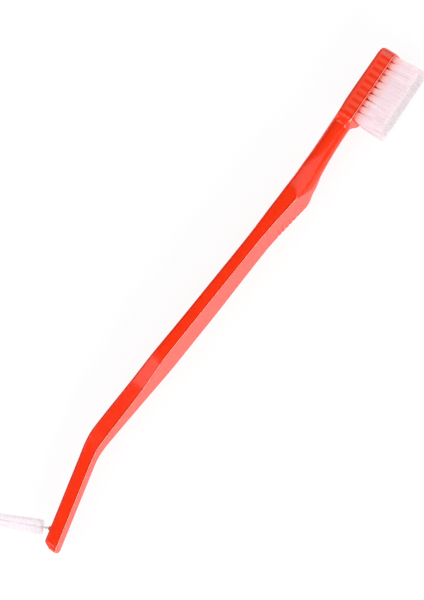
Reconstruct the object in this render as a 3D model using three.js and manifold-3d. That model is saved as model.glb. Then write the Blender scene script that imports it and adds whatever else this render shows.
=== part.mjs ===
// Pet toothbrush: one slim moulded handle with a tufted head, a thumb grip and a bent tail that
// carries a small twisted-wire brush. The brush lies on its flat side.
// Millimetres. +Y runs along the handle to the head, +X is the way the bristles point, +Z is up.
// The origin is the middle of the bottom of the brush's bounding box.
import * as THREE from "three";
import { mergeGeometries, mergeVertices } from "three/addons/utils/BufferGeometryUtils.js";
import Module from "manifold-3d";

const wasm = await Module();
wasm.setup();

// ---------------------------------------------------------------- driving dimensions

// The handle's middle line, from the end of the tail to the tip of the head.
const TAIL_STRAIGHT = 30.4;
const TAIL_BEND_RADIUS = 29.0;
const TAIL_BEND_ANGLE = THREE.MathUtils.degToRad(17.7);
const HANDLE_STRAIGHT = 91.5;
const NECK_BEND_RADIUS = 255.0;
const HEAD_TILT_ANGLE = THREE.MathUtils.degToRad(5.4);
const NECK_STRAIGHT = 13.45;
const HEAD_LENGTH = 25.1;

// Cross-sections. halfWidth is half the width, back and front are the distances from the middle
// line to the two faces, frontFlat is half the width of the flat front between its two edges, and
// frontRound and backRound are the radii of the long corners.
const BODY_HALF_WIDTH = 6.45;
const SHARP_EDGE = 0.45;
const EDGE_FLAT_LOSS = 0.06;
const TAIL = { halfWidth: 2.4, back: 2.35, front: 2.35, backRound: 1.0 };
const TAPER_END = { halfWidth: 3.05, back: 3.3, front: 2.35, backRound: 1.0 };
const TAPER_MIDDLE = { halfWidth: 4.4, back: 2.96, front: 2.4, backRound: 1.0 };
const BLADE_END = { halfWidth: BODY_HALF_WIDTH, back: 2.45, front: 2.1, backRound: 1.0 };
const BLADE = { halfWidth: BODY_HALF_WIDTH, back: 2.26, front: 2.06, backRound: 1.0 };
const WAIST = { halfWidth: 5.9, back: 2.38, front: 1.87, backRound: 1.0 };
const GRIP_END = { halfWidth: BODY_HALF_WIDTH, back: 2.6, front: 2.64, backRound: 1.0 };
const CREST = {
  halfWidth: BODY_HALF_WIDTH,
  back: 2.7,
  front: 3.2,
  frontFlat: 6.2,
  frontRound: 0.9,
  backRound: 1.1,
};
const TONGUE = {
  halfWidth: 6.35,
  back: 2.75,
  front: 3.4,
  frontFlat: 5.3,
  frontRound: 2.6,
  backRound: 1.2,
};
const TONGUE_TIP = {
  halfWidth: 5.5,
  back: 3.05,
  front: 3.6,
  frontFlat: 1.3,
  frontRound: 4.5,
  backRound: 1.5,
};
const THROAT = { halfWidth: 4.2, back: 3.65, front: 2.78, backRound: 2.0 };
const NECK_MIDDLE = { halfWidth: 3.25, back: 3.95, front: 2.2, backRound: 2.4 };
const NECK = { halfWidth: 3.0, back: 4.15, front: 2.06, backRound: 2.8 };
const HEAD = { halfWidth: 5.35, back: 2.8, front: 2.55, backRound: 1.0 };
const HEAD_ROOT = { ...HEAD, back: 3.1 };
const HEEL = { ...HEAD, back: 2.9 };

// Lengths of the stretches between those sections, along the middle line.
const TAPER_FOOT_LENGTH = 2.0;
const TAPER_TAIL_LENGTH = 18.0;
const TAPER_HEAD_LENGTH = 14.4;
const BLADE_LENGTH = 17.6;
const WAIST_RUN = 27.0;
const GRIP_RUN = 14.2;
const CREST_LENGTH = 4.9;
const TONGUE_LENGTH = 1.7;
const TONGUE_TIP_LENGTH = 4.2;
const THROAT_LENGTH = 5.2;
const NECK_SWELL_LENGTH = 7.0;
const NECK_SLIM_LENGTH = 6.0;
const HEEL_SHOULDER_LENGTH = 3.2;
const HEEL_BACK_LENGTH = 4.8;

// Rounded ends: the tip of the head and the end of the tail.
const TIP_END = { plan: 3.2, back: 1.1, front: 0.4, rake: 0 };
const TAIL_END = { plan: 2.1, back: 1.9, front: 0.9, rake: THREE.MathUtils.degToRad(16) };
const RAKE_RUN = 4.5;

// Thumb grip: slanted grooves from the middle of the front face to one of its edges.
const GROOVE_COUNT = 7;
const GROOVE_PITCH = 1.72;
const GROOVE_FIRST = 1.3;
const GROOVE_SLANT = THREE.MathUtils.degToRad(19);
const GROOVE_START = 0.9;
const GROOVE_RADIUS = 0.42;
const GROOVE_DEPTH = 0.24;

// Tufts: rows along the head, columns across it.
const TUFT_ROWS = 10;
const TUFT_COLUMNS = 4;
const ROW_PITCH = 2.36;
const COLUMN_PITCH = 2.4;
const FIRST_ROW = 1.95;
const HOLE_RADIUS = 0.85;
const HOLE_DEPTH = 3.7;
const BRISTLE_LENGTH = 9.8;
const BRISTLE_LEAN = THREE.MathUtils.degToRad(3);
const STRANDS_PER_RING = 6;
const STRAND_RADIUS = 0.2;
const STRAND_RING = 0.54;
const STRAND_SPREAD = 1.22;
const FIELD_ROWS = [3, 4, 3];

// The thin layer of the head's face that the strands are fused to, and its seat in the head.
const SLICE_THICKNESS = 0.5;
const SLICE_RIM = 0.6;
const SLICE_CORNER = 0.5;
const SLICE_SPLIT = 0.1;
const FIT_GAP = 0.05;

// Flat metal anchors that hold the folded tufts down in their holes.
const ANCHOR_THICKNESS = 0.25;
const ANCHOR_HEIGHT = 1.2;
const ANCHOR_BITE = 0.1;
const ANCHOR_FLOOR = 0.35;
const ANCHOR_TURN = THREE.MathUtils.degToRad(35);

// Twisted-wire brush in the tail.
const WIRE_FROM_END = 6.8;
const WIRE_LEAN = THREE.MathUtils.degToRad(10.9);
const WIRE_RADIUS = 0.15;
const WIRE_TWIST_PITCH = 2.3;
const WIRE_EMBEDDED = 3.2;
const WIRE_BARE = 3.0;
const FILAMENT_RADIUS = 0.05;
const FILAMENT_CORE_RADIUS = 0.075;
const FILAMENT_GAP = 0.03;
const FILAMENT_ZONE = 15.0;
const FILAMENT_COUNT = 48;
const FILAMENT_REACH_BASE = 2.55;
const FILAMENT_REACH_TIP = 2.1;
const NUB_HEIGHT = 1.0;
const NUB_BASE_RADIUS = 0.85;
const NUB_TOP_RADIUS = 0.68;

// Facets.
const CORNER_STEPS = 5;
const END_STEPS = 5;
const HOLE_SIDES = 8;
const STRAND_SIDES = 3;
const WIRE_SIDES = 5;
const WIRE_STEPS_PER_TURN = 8;
const FOLD_STEPS = 4;
const CUT_OVERSHOOT = 1.0;

// ---------------------------------------------------------------- solids

// A closed three.js geometry as a manifold solid.
function solidOf(geometry) {
  const bare = geometry.clone();
  bare.deleteAttribute("normal");
  bare.deleteAttribute("uv");
  const merged = mergeVertices(bare, 1e-5);
  const mesh = new wasm.Mesh({
    numProp: 3,
    vertProperties: merged.attributes.position.array,
    triVerts: new Uint32Array(merged.index.array),
  });
  return new wasm.Manifold(mesh);
}

// A manifold solid as a three.js geometry with flat facets.
function geometryOf(solid) {
  const mesh = solid.getMesh();
  const geometry = new THREE.BufferGeometry();
  const points = new Float32Array(mesh.numVert * 3);
  for (let i = 0; i < mesh.numVert; i += 1) {
    const start = i * mesh.numProp;
    points.set(mesh.vertProperties.subarray(start, start + 3), i * 3);
  }
  geometry.setAttribute("position", new THREE.BufferAttribute(points, 3));
  geometry.setIndex(new THREE.BufferAttribute(mesh.triVerts, 1));
  const flat = geometry.toNonIndexed();
  flat.computeVertexNormals();
  return flat;
}

// A closed skin over a row of rings with the same number of points, capped at both ends.
function skinOver(rings) {
  const count = rings[0].length;
  const points = rings.flat().flatMap((p) => [p.x, p.y, p.z]);
  const faces = [];
  for (let r = 0; r < rings.length - 1; r += 1) {
    for (let i = 0; i < count; i += 1) {
      const a = r * count + i;
      const b = r * count + ((i + 1) % count);
      faces.push(a, b, b + count, a, b + count, a + count);
    }
  }
  const last = (rings.length - 1) * count;
  for (let i = 1; i < count - 1; i += 1) {
    faces.push(0, i + 1, i);
    faces.push(last, last + i, last + i + 1);
  }
  const geometry = new THREE.BufferGeometry();
  geometry.setAttribute("position", new THREE.Float32BufferAttribute(points, 3));
  geometry.setIndex(faces);
  return geometry;
}

// A prism with regular ends, from one point to another.
function prismBetween(from, to, radiusFrom, radiusTo, sides) {
  const along = new THREE.Vector3().subVectors(to, from);
  const prism = new THREE.CylinderGeometry(radiusTo, radiusFrom, along.length(), sides, 1);
  const turn = new THREE.Quaternion().setFromUnitVectors(
    new THREE.Vector3(0, 1, 0),
    along.clone().normalize(),
  );
  prism.applyQuaternion(turn);
  const middle = new THREE.Vector3().addVectors(from, to).multiplyScalar(0.5);
  return prism.translate(middle.x, middle.y, middle.z);
}

// ---------------------------------------------------------------- the middle line

// Each stretch of the middle line has a length and turns by an angle over it.
const STRETCHES = [
  { length: TAIL_STRAIGHT, turn: 0 },
  { length: TAIL_BEND_RADIUS * TAIL_BEND_ANGLE, turn: -TAIL_BEND_ANGLE },
  { length: HANDLE_STRAIGHT, turn: 0 },
  { length: NECK_BEND_RADIUS * HEAD_TILT_ANGLE, turn: HEAD_TILT_ANGLE },
  { length: NECK_STRAIGHT + HEAD_LENGTH, turn: 0 },
];
const LINE_LENGTH = STRETCHES.reduce((sum, stretch) => sum + stretch.length, 0);

// The frame at a distance along the middle line: +Y along the line, +X to the front.
function frameAt(distance) {
  const place = new THREE.Vector2(0, 0);
  let angle = TAIL_BEND_ANGLE;
  let left = distance;
  for (const stretch of STRETCHES) {
    const run = Math.min(left, stretch.length);
    const turned = (stretch.turn * run) / stretch.length;
    if (turned === 0) {
      place.x -= run * Math.sin(angle);
      place.y += run * Math.cos(angle);
    } else {
      const radius = run / turned;
      place.x += radius * (Math.cos(angle + turned) - Math.cos(angle));
      place.y += radius * (Math.sin(angle + turned) - Math.sin(angle));
    }
    angle += turned;
    left -= run;
  }
  const frame = new THREE.Matrix4().makeRotationZ(angle);
  return frame.setPosition(place.x, place.y, 0);
}

const tailFrame = frameAt(0);
const headFrame = frameAt(LINE_LENGTH);

// ---------------------------------------------------------------- the handle's form

// A section whose front edges are sharp: the corner is barely eased.
function sharpFronted(section) {
  return {
    ...section,
    frontRound: SHARP_EDGE,
    frontFlat: section.halfWidth - EDGE_FLAT_LOSS,
  };
}

// A section whose front is fully round.
function roundFronted(section) {
  return { ...section, frontRound: section.halfWidth, frontFlat: 0 };
}

// The sections in order, each at its distance from the end of the tail, with the number of rings
// on the stretch that leads to it.
function placedSections() {
  const rows = [];
  let at = 0;
  const add = (run, rings, section) => {
    at += run;
    rows.push({ at, rings, section });
  };
  add(0, 0, sharpFronted(TAIL));
  add(TAIL_STRAIGHT, 2, sharpFronted(TAIL));
  add(TAIL_BEND_RADIUS * TAIL_BEND_ANGLE + TAPER_FOOT_LENGTH, 6, sharpFronted(TAPER_END));
  add(TAPER_TAIL_LENGTH, 5, sharpFronted(TAPER_MIDDLE));
  add(TAPER_HEAD_LENGTH, 6, sharpFronted(BLADE_END));
  add(BLADE_LENGTH, 2, sharpFronted(BLADE));
  add(WAIST_RUN, 4, sharpFronted(WAIST));
  add(GRIP_RUN, 4, sharpFronted(GRIP_END));
  add(CREST_LENGTH, 3, CREST);
  add(TONGUE_LENGTH, 2, TONGUE);
  add(TONGUE_TIP_LENGTH, 4, TONGUE_TIP);
  add(THROAT_LENGTH, 4, roundFronted(THROAT));
  add(NECK_SWELL_LENGTH, 4, roundFronted(NECK_MIDDLE));
  add(NECK_SLIM_LENGTH, 2, roundFronted(NECK));
  const heel = LINE_LENGTH - HEAD_LENGTH;
  add(heel - HEEL_SHOULDER_LENGTH - at, 2, roundFronted(NECK));
  add(HEEL_SHOULDER_LENGTH, 5, sharpFronted(HEEL));
  add(HEEL_BACK_LENGTH, 4, sharpFronted(HEAD_ROOT));
  add(LINE_LENGTH - at, 1, sharpFronted(HEAD));
  return rows;
}

const SECTIONS = placedSections();
const CREST_AT = SECTIONS.find((row) => row.section === CREST).at;

// Slopes that keep a smooth curve through the rows from overshooting any of them.
function slopesOf(key) {
  const steps = SECTIONS.slice(1).map((row, i) => {
    const before = SECTIONS[i];
    return (row.section[key] - before.section[key]) / (row.at - before.at);
  });
  return SECTIONS.map((_, i) => {
    const left = steps[i - 1] ?? 0;
    const right = steps[i] ?? 0;
    return left * right > 0 ? (2 * left * right) / (left + right) : 0;
  });
}

const SECTION_KEYS = ["halfWidth", "frontFlat", "back", "front", "frontRound", "backRound"];
const SLOPES = Object.fromEntries(SECTION_KEYS.map((key) => [key, slopesOf(key)]));

// The cross-section at a distance along the middle line.
function sectionAt(distance) {
  const next = SECTIONS.findIndex((row) => row.at >= distance);
  const i = Math.min(Math.max(next, 1), SECTIONS.length - 1);
  const [a, b] = [SECTIONS[i - 1], SECTIONS[i]];
  const run = b.at - a.at;
  const t = THREE.MathUtils.clamp((distance - a.at) / run, 0, 1);
  const section = {};
  for (const key of SECTION_KEYS) {
    section[key] =
      a.section[key] * (2 * t ** 3 - 3 * t ** 2 + 1) +
      SLOPES[key][i - 1] * run * (t ** 3 - 2 * t ** 2 + t) +
      b.section[key] * (3 * t ** 2 - 2 * t ** 3) +
      SLOPES[key][i] * run * (t ** 3 - t ** 2);
  }
  return section;
}

// The outline of a cross-section: x to the front, z across, anticlockwise about +Y.
function outlineOf(section) {
  const { halfWidth, frontFlat, back, front, frontRound, backRound } = section;
  const cosine = THREE.MathUtils.clamp((frontFlat - halfWidth + frontRound) / frontRound, 0, 1);
  const frontTurn = Math.acos(cosine);
  const frontX = front - frontRound * Math.sin(frontTurn);
  const half = [];
  for (let i = 0; i <= CORNER_STEPS; i += 1) {
    const angle = frontTurn * (1 - i / CORNER_STEPS);
    const z = halfWidth - frontRound + frontRound * Math.cos(angle);
    half.push(new THREE.Vector2(frontX + frontRound * Math.sin(angle), z));
  }
  for (let i = 0; i <= CORNER_STEPS; i += 1) {
    const angle = ((Math.PI / 2) * i) / CORNER_STEPS;
    const z = halfWidth - backRound + backRound * Math.cos(angle);
    half.push(new THREE.Vector2(-back + backRound - backRound * Math.sin(angle), z));
  }
  const mirrored = half.map((p) => new THREE.Vector2(p.x, -p.y));
  return [...half.reverse(), ...mirrored];
}

// How much a rounded end of the given radius has taken off at a depth from the end.
function endLoss(radius, depth) {
  const away = Math.max(radius - depth, 0);
  return radius - Math.sqrt(radius ** 2 - away ** 2);
}

// The section at a depth inside a rounded end.
function sectionInEnd(section, end, depth) {
  const halfWidth = section.halfWidth - endLoss(end.plan, depth);
  const widthLoss = section.halfWidth - halfWidth;
  return {
    ...section,
    halfWidth,
    frontFlat: section.frontFlat - widthLoss,
    back: section.back - endLoss(end.back, depth),
    front: section.front - endLoss(end.front, depth),
  };
}

// One ring of the handle. At a raked end the back stops short of the front.
function handleRing(distance) {
  const fromTip = LINE_LENGTH - distance;
  const atTail = distance < fromTip;
  const end = atTail ? TAIL_END : TIP_END;
  const depth = Math.min(distance, fromTip);
  const section = sectionInEnd(sectionAt(distance), end, depth);
  const nearness = Math.max(1 - depth / RAKE_RUN, 0);
  const lean = Math.tan(end.rake) * nearness * (atTail ? 1 : -1);
  const frame = frameAt(distance);
  return outlineOf(section).map((p) => {
    const rise = lean * (p.x - section.front);
    return new THREE.Vector3(p.x, -rise, p.y).applyMatrix4(frame).setZ(p.y);
  });
}

// Distances of the rings inside a rounded end, measured from the end, closest first.
function endDepths(end) {
  const depths = [];
  for (let i = 0; i < END_STEPS; i += 1) {
    depths.push(end.plan * (1 - Math.cos(((Math.PI / 2) * i) / END_STEPS)));
  }
  return depths;
}

// The moulded body before anything is cut in it.
function handleBody() {
  const inner = SECTIONS.slice(1).flatMap((row, i) => {
    const before = SECTIONS[i].at;
    return Array.from({ length: row.rings }, (_, k) => {
      return before + ((row.at - before) * (k + 1)) / row.rings;
    });
  });
  const straight = inner.filter((at) => at < LINE_LENGTH - TIP_END.plan);
  const tip = endDepths(TIP_END).map((depth) => LINE_LENGTH - depth);
  const stations = [
    ...endDepths(TAIL_END),
    TAIL_END.plan,
    ...straight,
    LINE_LENGTH - TIP_END.plan,
    ...tip.reverse(),
  ];
  return solidOf(skinOver(stations.map(handleRing)));
}

// ---------------------------------------------------------------- the tufted head
// Everything here is in the head's own frame: its tip at y = 0, the face at x = HEAD.front.

const SEAT_X = HEAD.front - SLICE_THICKNESS;
const HOLE_FLOOR_X = HEAD.front - HOLE_DEPTH;
const ANCHOR_X = HOLE_FLOOR_X + ANCHOR_FLOOR + ANCHOR_HEIGHT / 2;

// The middles of the tufts in one row of the head.
function tuftsInRow(row) {
  const y = -FIRST_ROW - row * ROW_PITCH;
  return Array.from({ length: TUFT_COLUMNS }, (_, column) => {
    return { y, z: (column - (TUFT_COLUMNS - 1) / 2) * COLUMN_PITCH };
  });
}

const TUFTS = Array.from({ length: TUFT_ROWS }, (_, row) => tuftsInRow(row)).flat();

// A flat plate with the outline of the tufted part of the face, smaller all round by an inset.
function facePlate(inset, fromX, thickness) {
  const halfWidth = HEAD.halfWidth - SLICE_RIM - inset;
  const top = -SLICE_RIM - inset;
  const lastRow = -FIRST_ROW - (TUFT_ROWS - 1) * ROW_PITCH;
  const bottom = lastRow - HOLE_RADIUS - SLICE_RIM + inset;
  const tipCorner = TIP_END.plan - SLICE_RIM - inset;
  const shape = new THREE.Shape();
  shape.moveTo(halfWidth - SLICE_CORNER, bottom);
  shape.absarc(halfWidth - SLICE_CORNER, bottom + SLICE_CORNER, SLICE_CORNER, -Math.PI / 2, 0);
  shape.absarc(halfWidth - tipCorner, top - tipCorner, tipCorner, 0, Math.PI / 2);
  shape.absarc(-halfWidth + tipCorner, top - tipCorner, tipCorner, Math.PI / 2, Math.PI);
  shape.absarc(
    -halfWidth + SLICE_CORNER,
    bottom + SLICE_CORNER,
    SLICE_CORNER,
    Math.PI,
    (3 * Math.PI) / 2,
  );
  const plate = new THREE.ExtrudeGeometry(shape, {
    depth: thickness,
    bevelEnabled: false,
    curveSegments: CORNER_STEPS,
  });
  return plate.rotateY(Math.PI / 2).translate(fromX, 0, 0);
}

// A short round plug along the bristles' direction, centred on a tuft.
function tuftPlug(tuft, radius, fromX, toX) {
  const from = new THREE.Vector3(fromX, tuft.y, tuft.z);
  const to = new THREE.Vector3(toX, tuft.y, tuft.z);
  return prismBetween(from, to, radius, radius, HOLE_SIDES);
}

// A flat plate across a tuft's hole, grown by a clearance, from one depth to another.
function anchorPlate(tuft, clearance, fromX, toX) {
  const length = 2 * (HOLE_RADIUS + ANCHOR_BITE + clearance);
  const thickness = ANCHOR_THICKNESS + 2 * clearance;
  const plate = new THREE.BoxGeometry(toX - fromX, length, thickness);
  plate.rotateX(ANCHOR_TURN);
  return plate.translate((fromX + toX) / 2, tuft.y, tuft.z);
}

// What is cut from the head: the seat of the face layer, the tuft holes, and the narrow slots
// that the anchors plough into the walls as they are driven down.
function headCuts() {
  const seat = solidOf(facePlate(0, SEAT_X, SLICE_THICKNESS + CUT_OVERSHOOT));
  const overlapX = SEAT_X + SLICE_THICKNESS / 2;
  const holes = TUFTS.map((tuft) => tuftPlug(tuft, HOLE_RADIUS, HOLE_FLOOR_X, overlapX));
  const slotFloor = HOLE_FLOOR_X + ANCHOR_FLOOR - FIT_GAP;
  const slots = TUFTS.map((tuft) => anchorPlate(tuft, FIT_GAP, slotFloor, overlapX));
  return seat.add(joined(holes)).add(joined(slots)).transform(headFrame.elements);
}

// Separate closed shapes, none touching another, as one manifold solid.
function joined(shapes) {
  const bare = shapes.map((shape) => {
    const plain = shape.index ? shape.toNonIndexed() : shape;
    plain.deleteAttribute("normal");
    plain.deleteAttribute("uv");
    return plain;
  });
  return solidOf(mergeGeometries(bare));
}

// One straight strand from the face layer to the trimmed top of the tuft.
function strand(tuft, offsetY, offsetZ) {
  const rootX = SEAT_X + SLICE_THICKNESS / 2;
  const tipX = HEAD.front + BRISTLE_LENGTH;
  const lean = Math.tan(BRISTLE_LEAN) * (tipX - HEAD.front);
  const root = new THREE.Vector3(rootX, tuft.y + offsetY, tuft.z + offsetZ);
  const tip = new THREE.Vector3(
    tipX,
    tuft.y + lean + offsetY * STRAND_SPREAD,
    tuft.z + offsetZ * STRAND_SPREAD,
  );
  return prismBetween(root, tip, STRAND_RADIUS, STRAND_RADIUS, STRAND_SIDES);
}

// The strands of one tuft: one in the middle and a ring around it.
function tuftStrands(tuft) {
  const strands = [strand(tuft, 0, 0)];
  for (let i = 0; i < STRANDS_PER_RING; i += 1) {
    const angle = (2 * Math.PI * i) / STRANDS_PER_RING;
    strands.push(strand(tuft, STRAND_RING * Math.cos(angle), STRAND_RING * Math.sin(angle)));
  }
  return strands;
}

// A field of whole rows: its slice of the face layer, its strands, and the folded feet of its
// tufts, which pass both sides of their anchors and meet beneath them.
function bristleField(firstRow, rowCount) {
  const tufts = Array.from({ length: rowCount }, (_, i) => tuftsInRow(firstRow + i)).flat();
  const thickness = SLICE_THICKNESS - FIT_GAP;
  const layer = solidOf(facePlate(FIT_GAP, SEAT_X + FIT_GAP, thickness));
  const isFirst = firstRow === 0;
  const isLast = firstRow + rowCount === TUFT_ROWS;
  const splitBefore = -FIRST_ROW - (firstRow - 0.5) * ROW_PITCH;
  const splitAfter = splitBefore - rowCount * ROW_PITCH;
  const top = isFirst ? HEAD_LENGTH : splitBefore - SLICE_SPLIT / 2;
  const bottom = isLast ? -2 * HEAD_LENGTH : splitAfter + SLICE_SPLIT / 2;
  const strip = new THREE.BoxGeometry(HEAD_LENGTH, top - bottom, HEAD_LENGTH);
  strip.translate(0, (top + bottom) / 2, 0);
  const slice = layer.intersect(solidOf(strip));
  const footRadius = HOLE_RADIUS - FIT_GAP;
  const footTop = SEAT_X + SLICE_THICKNESS / 2;
  const feet = tufts.map((tuft) => tuftPlug(tuft, footRadius, HOLE_FLOOR_X + FIT_GAP, footTop));
  const slotFloor = ANCHOR_X - ANCHOR_HEIGHT / 2 - FIT_GAP;
  const slotTop = ANCHOR_X + ANCHOR_HEIGHT / 2 + FIT_GAP;
  const slots = tufts.map((tuft) => anchorPlate(tuft, FIT_GAP, slotFloor, slotTop));
  const strands = joined(tufts.flatMap(tuftStrands));
  return slice.add(joined(feet).subtract(joined(slots))).add(strands);
}

// ---------------------------------------------------------------- thumb grip

// Slanted grooves: each runs from near the middle of the front face out over its -Z edge.
function gripCuts() {
  const grooves = [];
  for (let i = 0; i < GROOVE_COUNT; i += 1) {
    const distance = CREST_AT - GROOVE_FIRST - i * GROOVE_PITCH;
    const x = sectionAt(distance).front + GROOVE_RADIUS - GROOVE_DEPTH;
    const endZ = -BODY_HALF_WIDTH - CUT_OVERSHOOT;
    const middleZ = -(GROOVE_START + BODY_HALF_WIDTH) / 2;
    const slope = Math.tan(GROOVE_SLANT);
    const from = new THREE.Vector3(x, (-GROOVE_START - middleZ) * slope, -GROOVE_START);
    const to = new THREE.Vector3(x, (endZ - middleZ) * slope, endZ);
    const groove = prismBetween(from, to, GROOVE_RADIUS, GROOVE_RADIUS, HOLE_SIDES);
    grooves.push(groove.applyMatrix4(frameAt(distance)));
  }
  return joined(grooves);
}

// ---------------------------------------------------------------- twisted-wire brush
// Everything here is in the wire's own frame: its root on the tail's back face at y = 0, with +Y
// along the wire away from the handle.

const LEG_OFFSET = WIRE_RADIUS + FILAMENT_CORE_RADIUS + FILAMENT_GAP;
const WIRE_OUTER_RADIUS = LEG_OFFSET + WIRE_RADIUS;
const FILAMENTS_FROM = WIRE_BARE;
const FILAMENTS_TO = WIRE_BARE + FILAMENT_ZONE;

function wireFrame() {
  const root = new THREE.Vector3(-TAIL.back, WIRE_FROM_END, 0).applyMatrix4(tailFrame);
  const frame = tailFrame.clone().multiply(new THREE.Matrix4().makeRotationZ(Math.PI / 2 + WIRE_LEAN));
  return frame.setPosition(root.x, root.y, root.z);
}

// The direction across the wire in which its filaments lie at a height, turning with the twist.
function twistAngle(y) {
  return (2 * Math.PI * y) / WIRE_TWIST_PITCH;
}

function legPoint(y, side) {
  const angle = twistAngle(y) + (side * Math.PI) / 2;
  return new THREE.Vector3(LEG_OFFSET * Math.cos(angle), y, LEG_OFFSET * Math.sin(angle));
}

// One wire: up the first leg, over the fold at the tip, and down the second leg.
function wirePath() {
  const foot = -WIRE_EMBEDDED + FIT_GAP;
  const steps = Math.round(((FILAMENTS_TO - foot) * WIRE_STEPS_PER_TURN) / WIRE_TWIST_PITCH);
  const heights = Array.from({ length: steps + 1 }, (_, i) => {
    return foot + ((FILAMENTS_TO - foot) * i) / steps;
  });
  const up = heights.map((y) => legPoint(y, 1));
  const down = heights.map((y) => legPoint(y, -1)).reverse();
  const fold = [];
  const start = up[up.length - 1];
  for (let i = 1; i < FOLD_STEPS; i += 1) {
    const angle = (Math.PI * i) / FOLD_STEPS;
    const out = Math.cos(angle);
    fold.push(
      new THREE.Vector3(start.x * out, FILAMENTS_TO + LEG_OFFSET * Math.sin(angle), start.z * out),
    );
  }
  return [...up, ...fold, ...down];
}

// A round tube along a row of points. Each ring is the one before it, turned with the path.
function tubeAlong(points, radius, sides) {
  const tangents = points.map((p, i) => {
    const before = points[Math.max(i - 1, 0)];
    const after = points[Math.min(i + 1, points.length - 1)];
    return new THREE.Vector3().subVectors(after, before).normalize();
  });
  const side = new THREE.Vector3(0, 0, 1).cross(tangents[0]).normalize();
  const rings = points.map((p, i) => {
    if (i > 0) {
      side.applyQuaternion(new THREE.Quaternion().setFromUnitVectors(tangents[i - 1], tangents[i]));
    }
    const other = new THREE.Vector3().crossVectors(tangents[i], side);
    return Array.from({ length: sides }, (_, k) => {
      const angle = (2 * Math.PI * k) / sides;
      const ring = p.clone().addScaledVector(side, radius * Math.cos(angle));
      return ring.addScaledVector(other, radius * Math.sin(angle));
    });
  });
  return skinOver(rings);
}

// The filaments: each passes straight through between the two legs, and they are held together
// by a thin core on the wire's axis.
function filaments() {
  const core = prismBetween(
    new THREE.Vector3(0, FILAMENTS_FROM, 0),
    new THREE.Vector3(0, FILAMENTS_TO - FILAMENT_RADIUS, 0),
    FILAMENT_CORE_RADIUS,
    FILAMENT_CORE_RADIUS,
    WIRE_SIDES,
  );
  const spacing = (FILAMENT_ZONE - 4 * FILAMENT_RADIUS) / (FILAMENT_COUNT - 1);
  const fibres = Array.from({ length: FILAMENT_COUNT }, (_, i) => {
    const y = FILAMENTS_FROM + 2 * FILAMENT_RADIUS + i * spacing;
    const share = i / (FILAMENT_COUNT - 1);
    const reach = THREE.MathUtils.lerp(FILAMENT_REACH_BASE, FILAMENT_REACH_TIP, share);
    const out = new THREE.Vector3(Math.cos(twistAngle(y)), 0, Math.sin(twistAngle(y)));
    const from = out.clone().multiplyScalar(-reach).setY(y);
    const to = out.clone().multiplyScalar(reach).setY(y);
    return prismBetween(from, to, FILAMENT_RADIUS, FILAMENT_RADIUS, STRAND_SIDES);
  });
  return solidOf(core).add(joined(fibres));
}

// The small moulded nub round the wire's root, and the hole that the wire is set in.
function wireSeat() {
  const nub = prismBetween(
    new THREE.Vector3(0, -TAIL.back / 2, 0),
    new THREE.Vector3(0, NUB_HEIGHT, 0),
    NUB_BASE_RADIUS,
    NUB_TOP_RADIUS,
    2 * HOLE_SIDES,
  );
  const holeRadius = (WIRE_OUTER_RADIUS + FIT_GAP) / Math.cos(Math.PI / HOLE_SIDES);
  const hole = prismBetween(
    new THREE.Vector3(0, -WIRE_EMBEDDED, 0),
    new THREE.Vector3(0, NUB_HEIGHT + CUT_OVERSHOOT, 0),
    holeRadius,
    holeRadius,
    HOLE_SIDES,
  );
  return [nub, hole].map((shape) => solidOf(shape).transform(wireFrame().elements));
}

// ---------------------------------------------------------------- assembly

const redPlastic = { color: 0xf02412, roughness: 0.12, metalness: 0 };
const nylon = { color: 0xf2e6e8, roughness: 0.4, metalness: 0 };
const anchorMetal = { color: 0xc9cacc, roughness: 0.35, metalness: 1 };
const steelWire = { color: 0xb9bcc0, roughness: 0.3, metalness: 1 };

function piece(name, geometry, look) {
  const mesh = new THREE.Mesh(geometry, new THREE.MeshStandardMaterial(look));
  mesh.name = name;
  return mesh;
}

function handle() {
  const [nub, wireHole] = wireSeat();
  const body = handleBody().add(nub).subtract(wireHole);
  return piece("handle", geometryOf(body.subtract(headCuts()).subtract(gripCuts())), redPlastic);
}

function bristleFields() {
  const names = ["bristles_tip_rows", "bristles_middle_rows", "bristles_heel_rows"];
  let firstRow = 0;
  return names.map((name, i) => {
    const field = bristleField(firstRow, FIELD_ROWS[i]);
    firstRow += FIELD_ROWS[i];
    return piece(name, geometryOf(field), nylon);
  });
}

function anchors() {
  return TUFTS.map((tuft, i) => {
    const low = ANCHOR_X - ANCHOR_HEIGHT / 2;
    const plate = anchorPlate(tuft, 0, low, low + ANCHOR_HEIGHT);
    return piece("anchor_" + String(i + 1).padStart(2, "0"), plate, anchorMetal);
  });
}

function wireBrush() {
  const wire = tubeAlong(wirePath(), WIRE_RADIUS, WIRE_SIDES);
  return [
    piece("interdental_wire", wire, steelWire),
    piece("interdental_filaments", geometryOf(filaments()), nylon),
  ];
}

// A group placed by one of the frames above.
function groupIn(frame, members) {
  const group = new THREE.Group();
  frame.decompose(group.position, group.quaternion, group.scale);
  group.add(...members);
  return group;
}

const toothbrush = new THREE.Group();
toothbrush.add(handle());
toothbrush.add(groupIn(headFrame, [...bristleFields(), ...anchors()]));
toothbrush.add(groupIn(wireFrame(), wireBrush()));

const box = new THREE.Box3().setFromObject(toothbrush, true);
const centre = box.getCenter(new THREE.Vector3());
const part = new THREE.Group();
part.name = "pet_toothbrush";
toothbrush.position.set(-centre.x, -centre.y, -box.min.z);
part.add(toothbrush);
part.updateMatrixWorld(true);

export default part;
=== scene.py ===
"""A pet toothbrush: a clear red moulded handle with a tufted head, a thumb grip and a bent tail
that carries a small twisted-wire brush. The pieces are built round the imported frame, which sets
where everything lies: +Y runs along the handle to the head, +X is the way the bristles point and
+Z is up. Lengths are in metres unless a comment says otherwise."""

import math
import random
from collections import namedtuple

import bpy
from mathutils import Matrix, Vector


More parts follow.
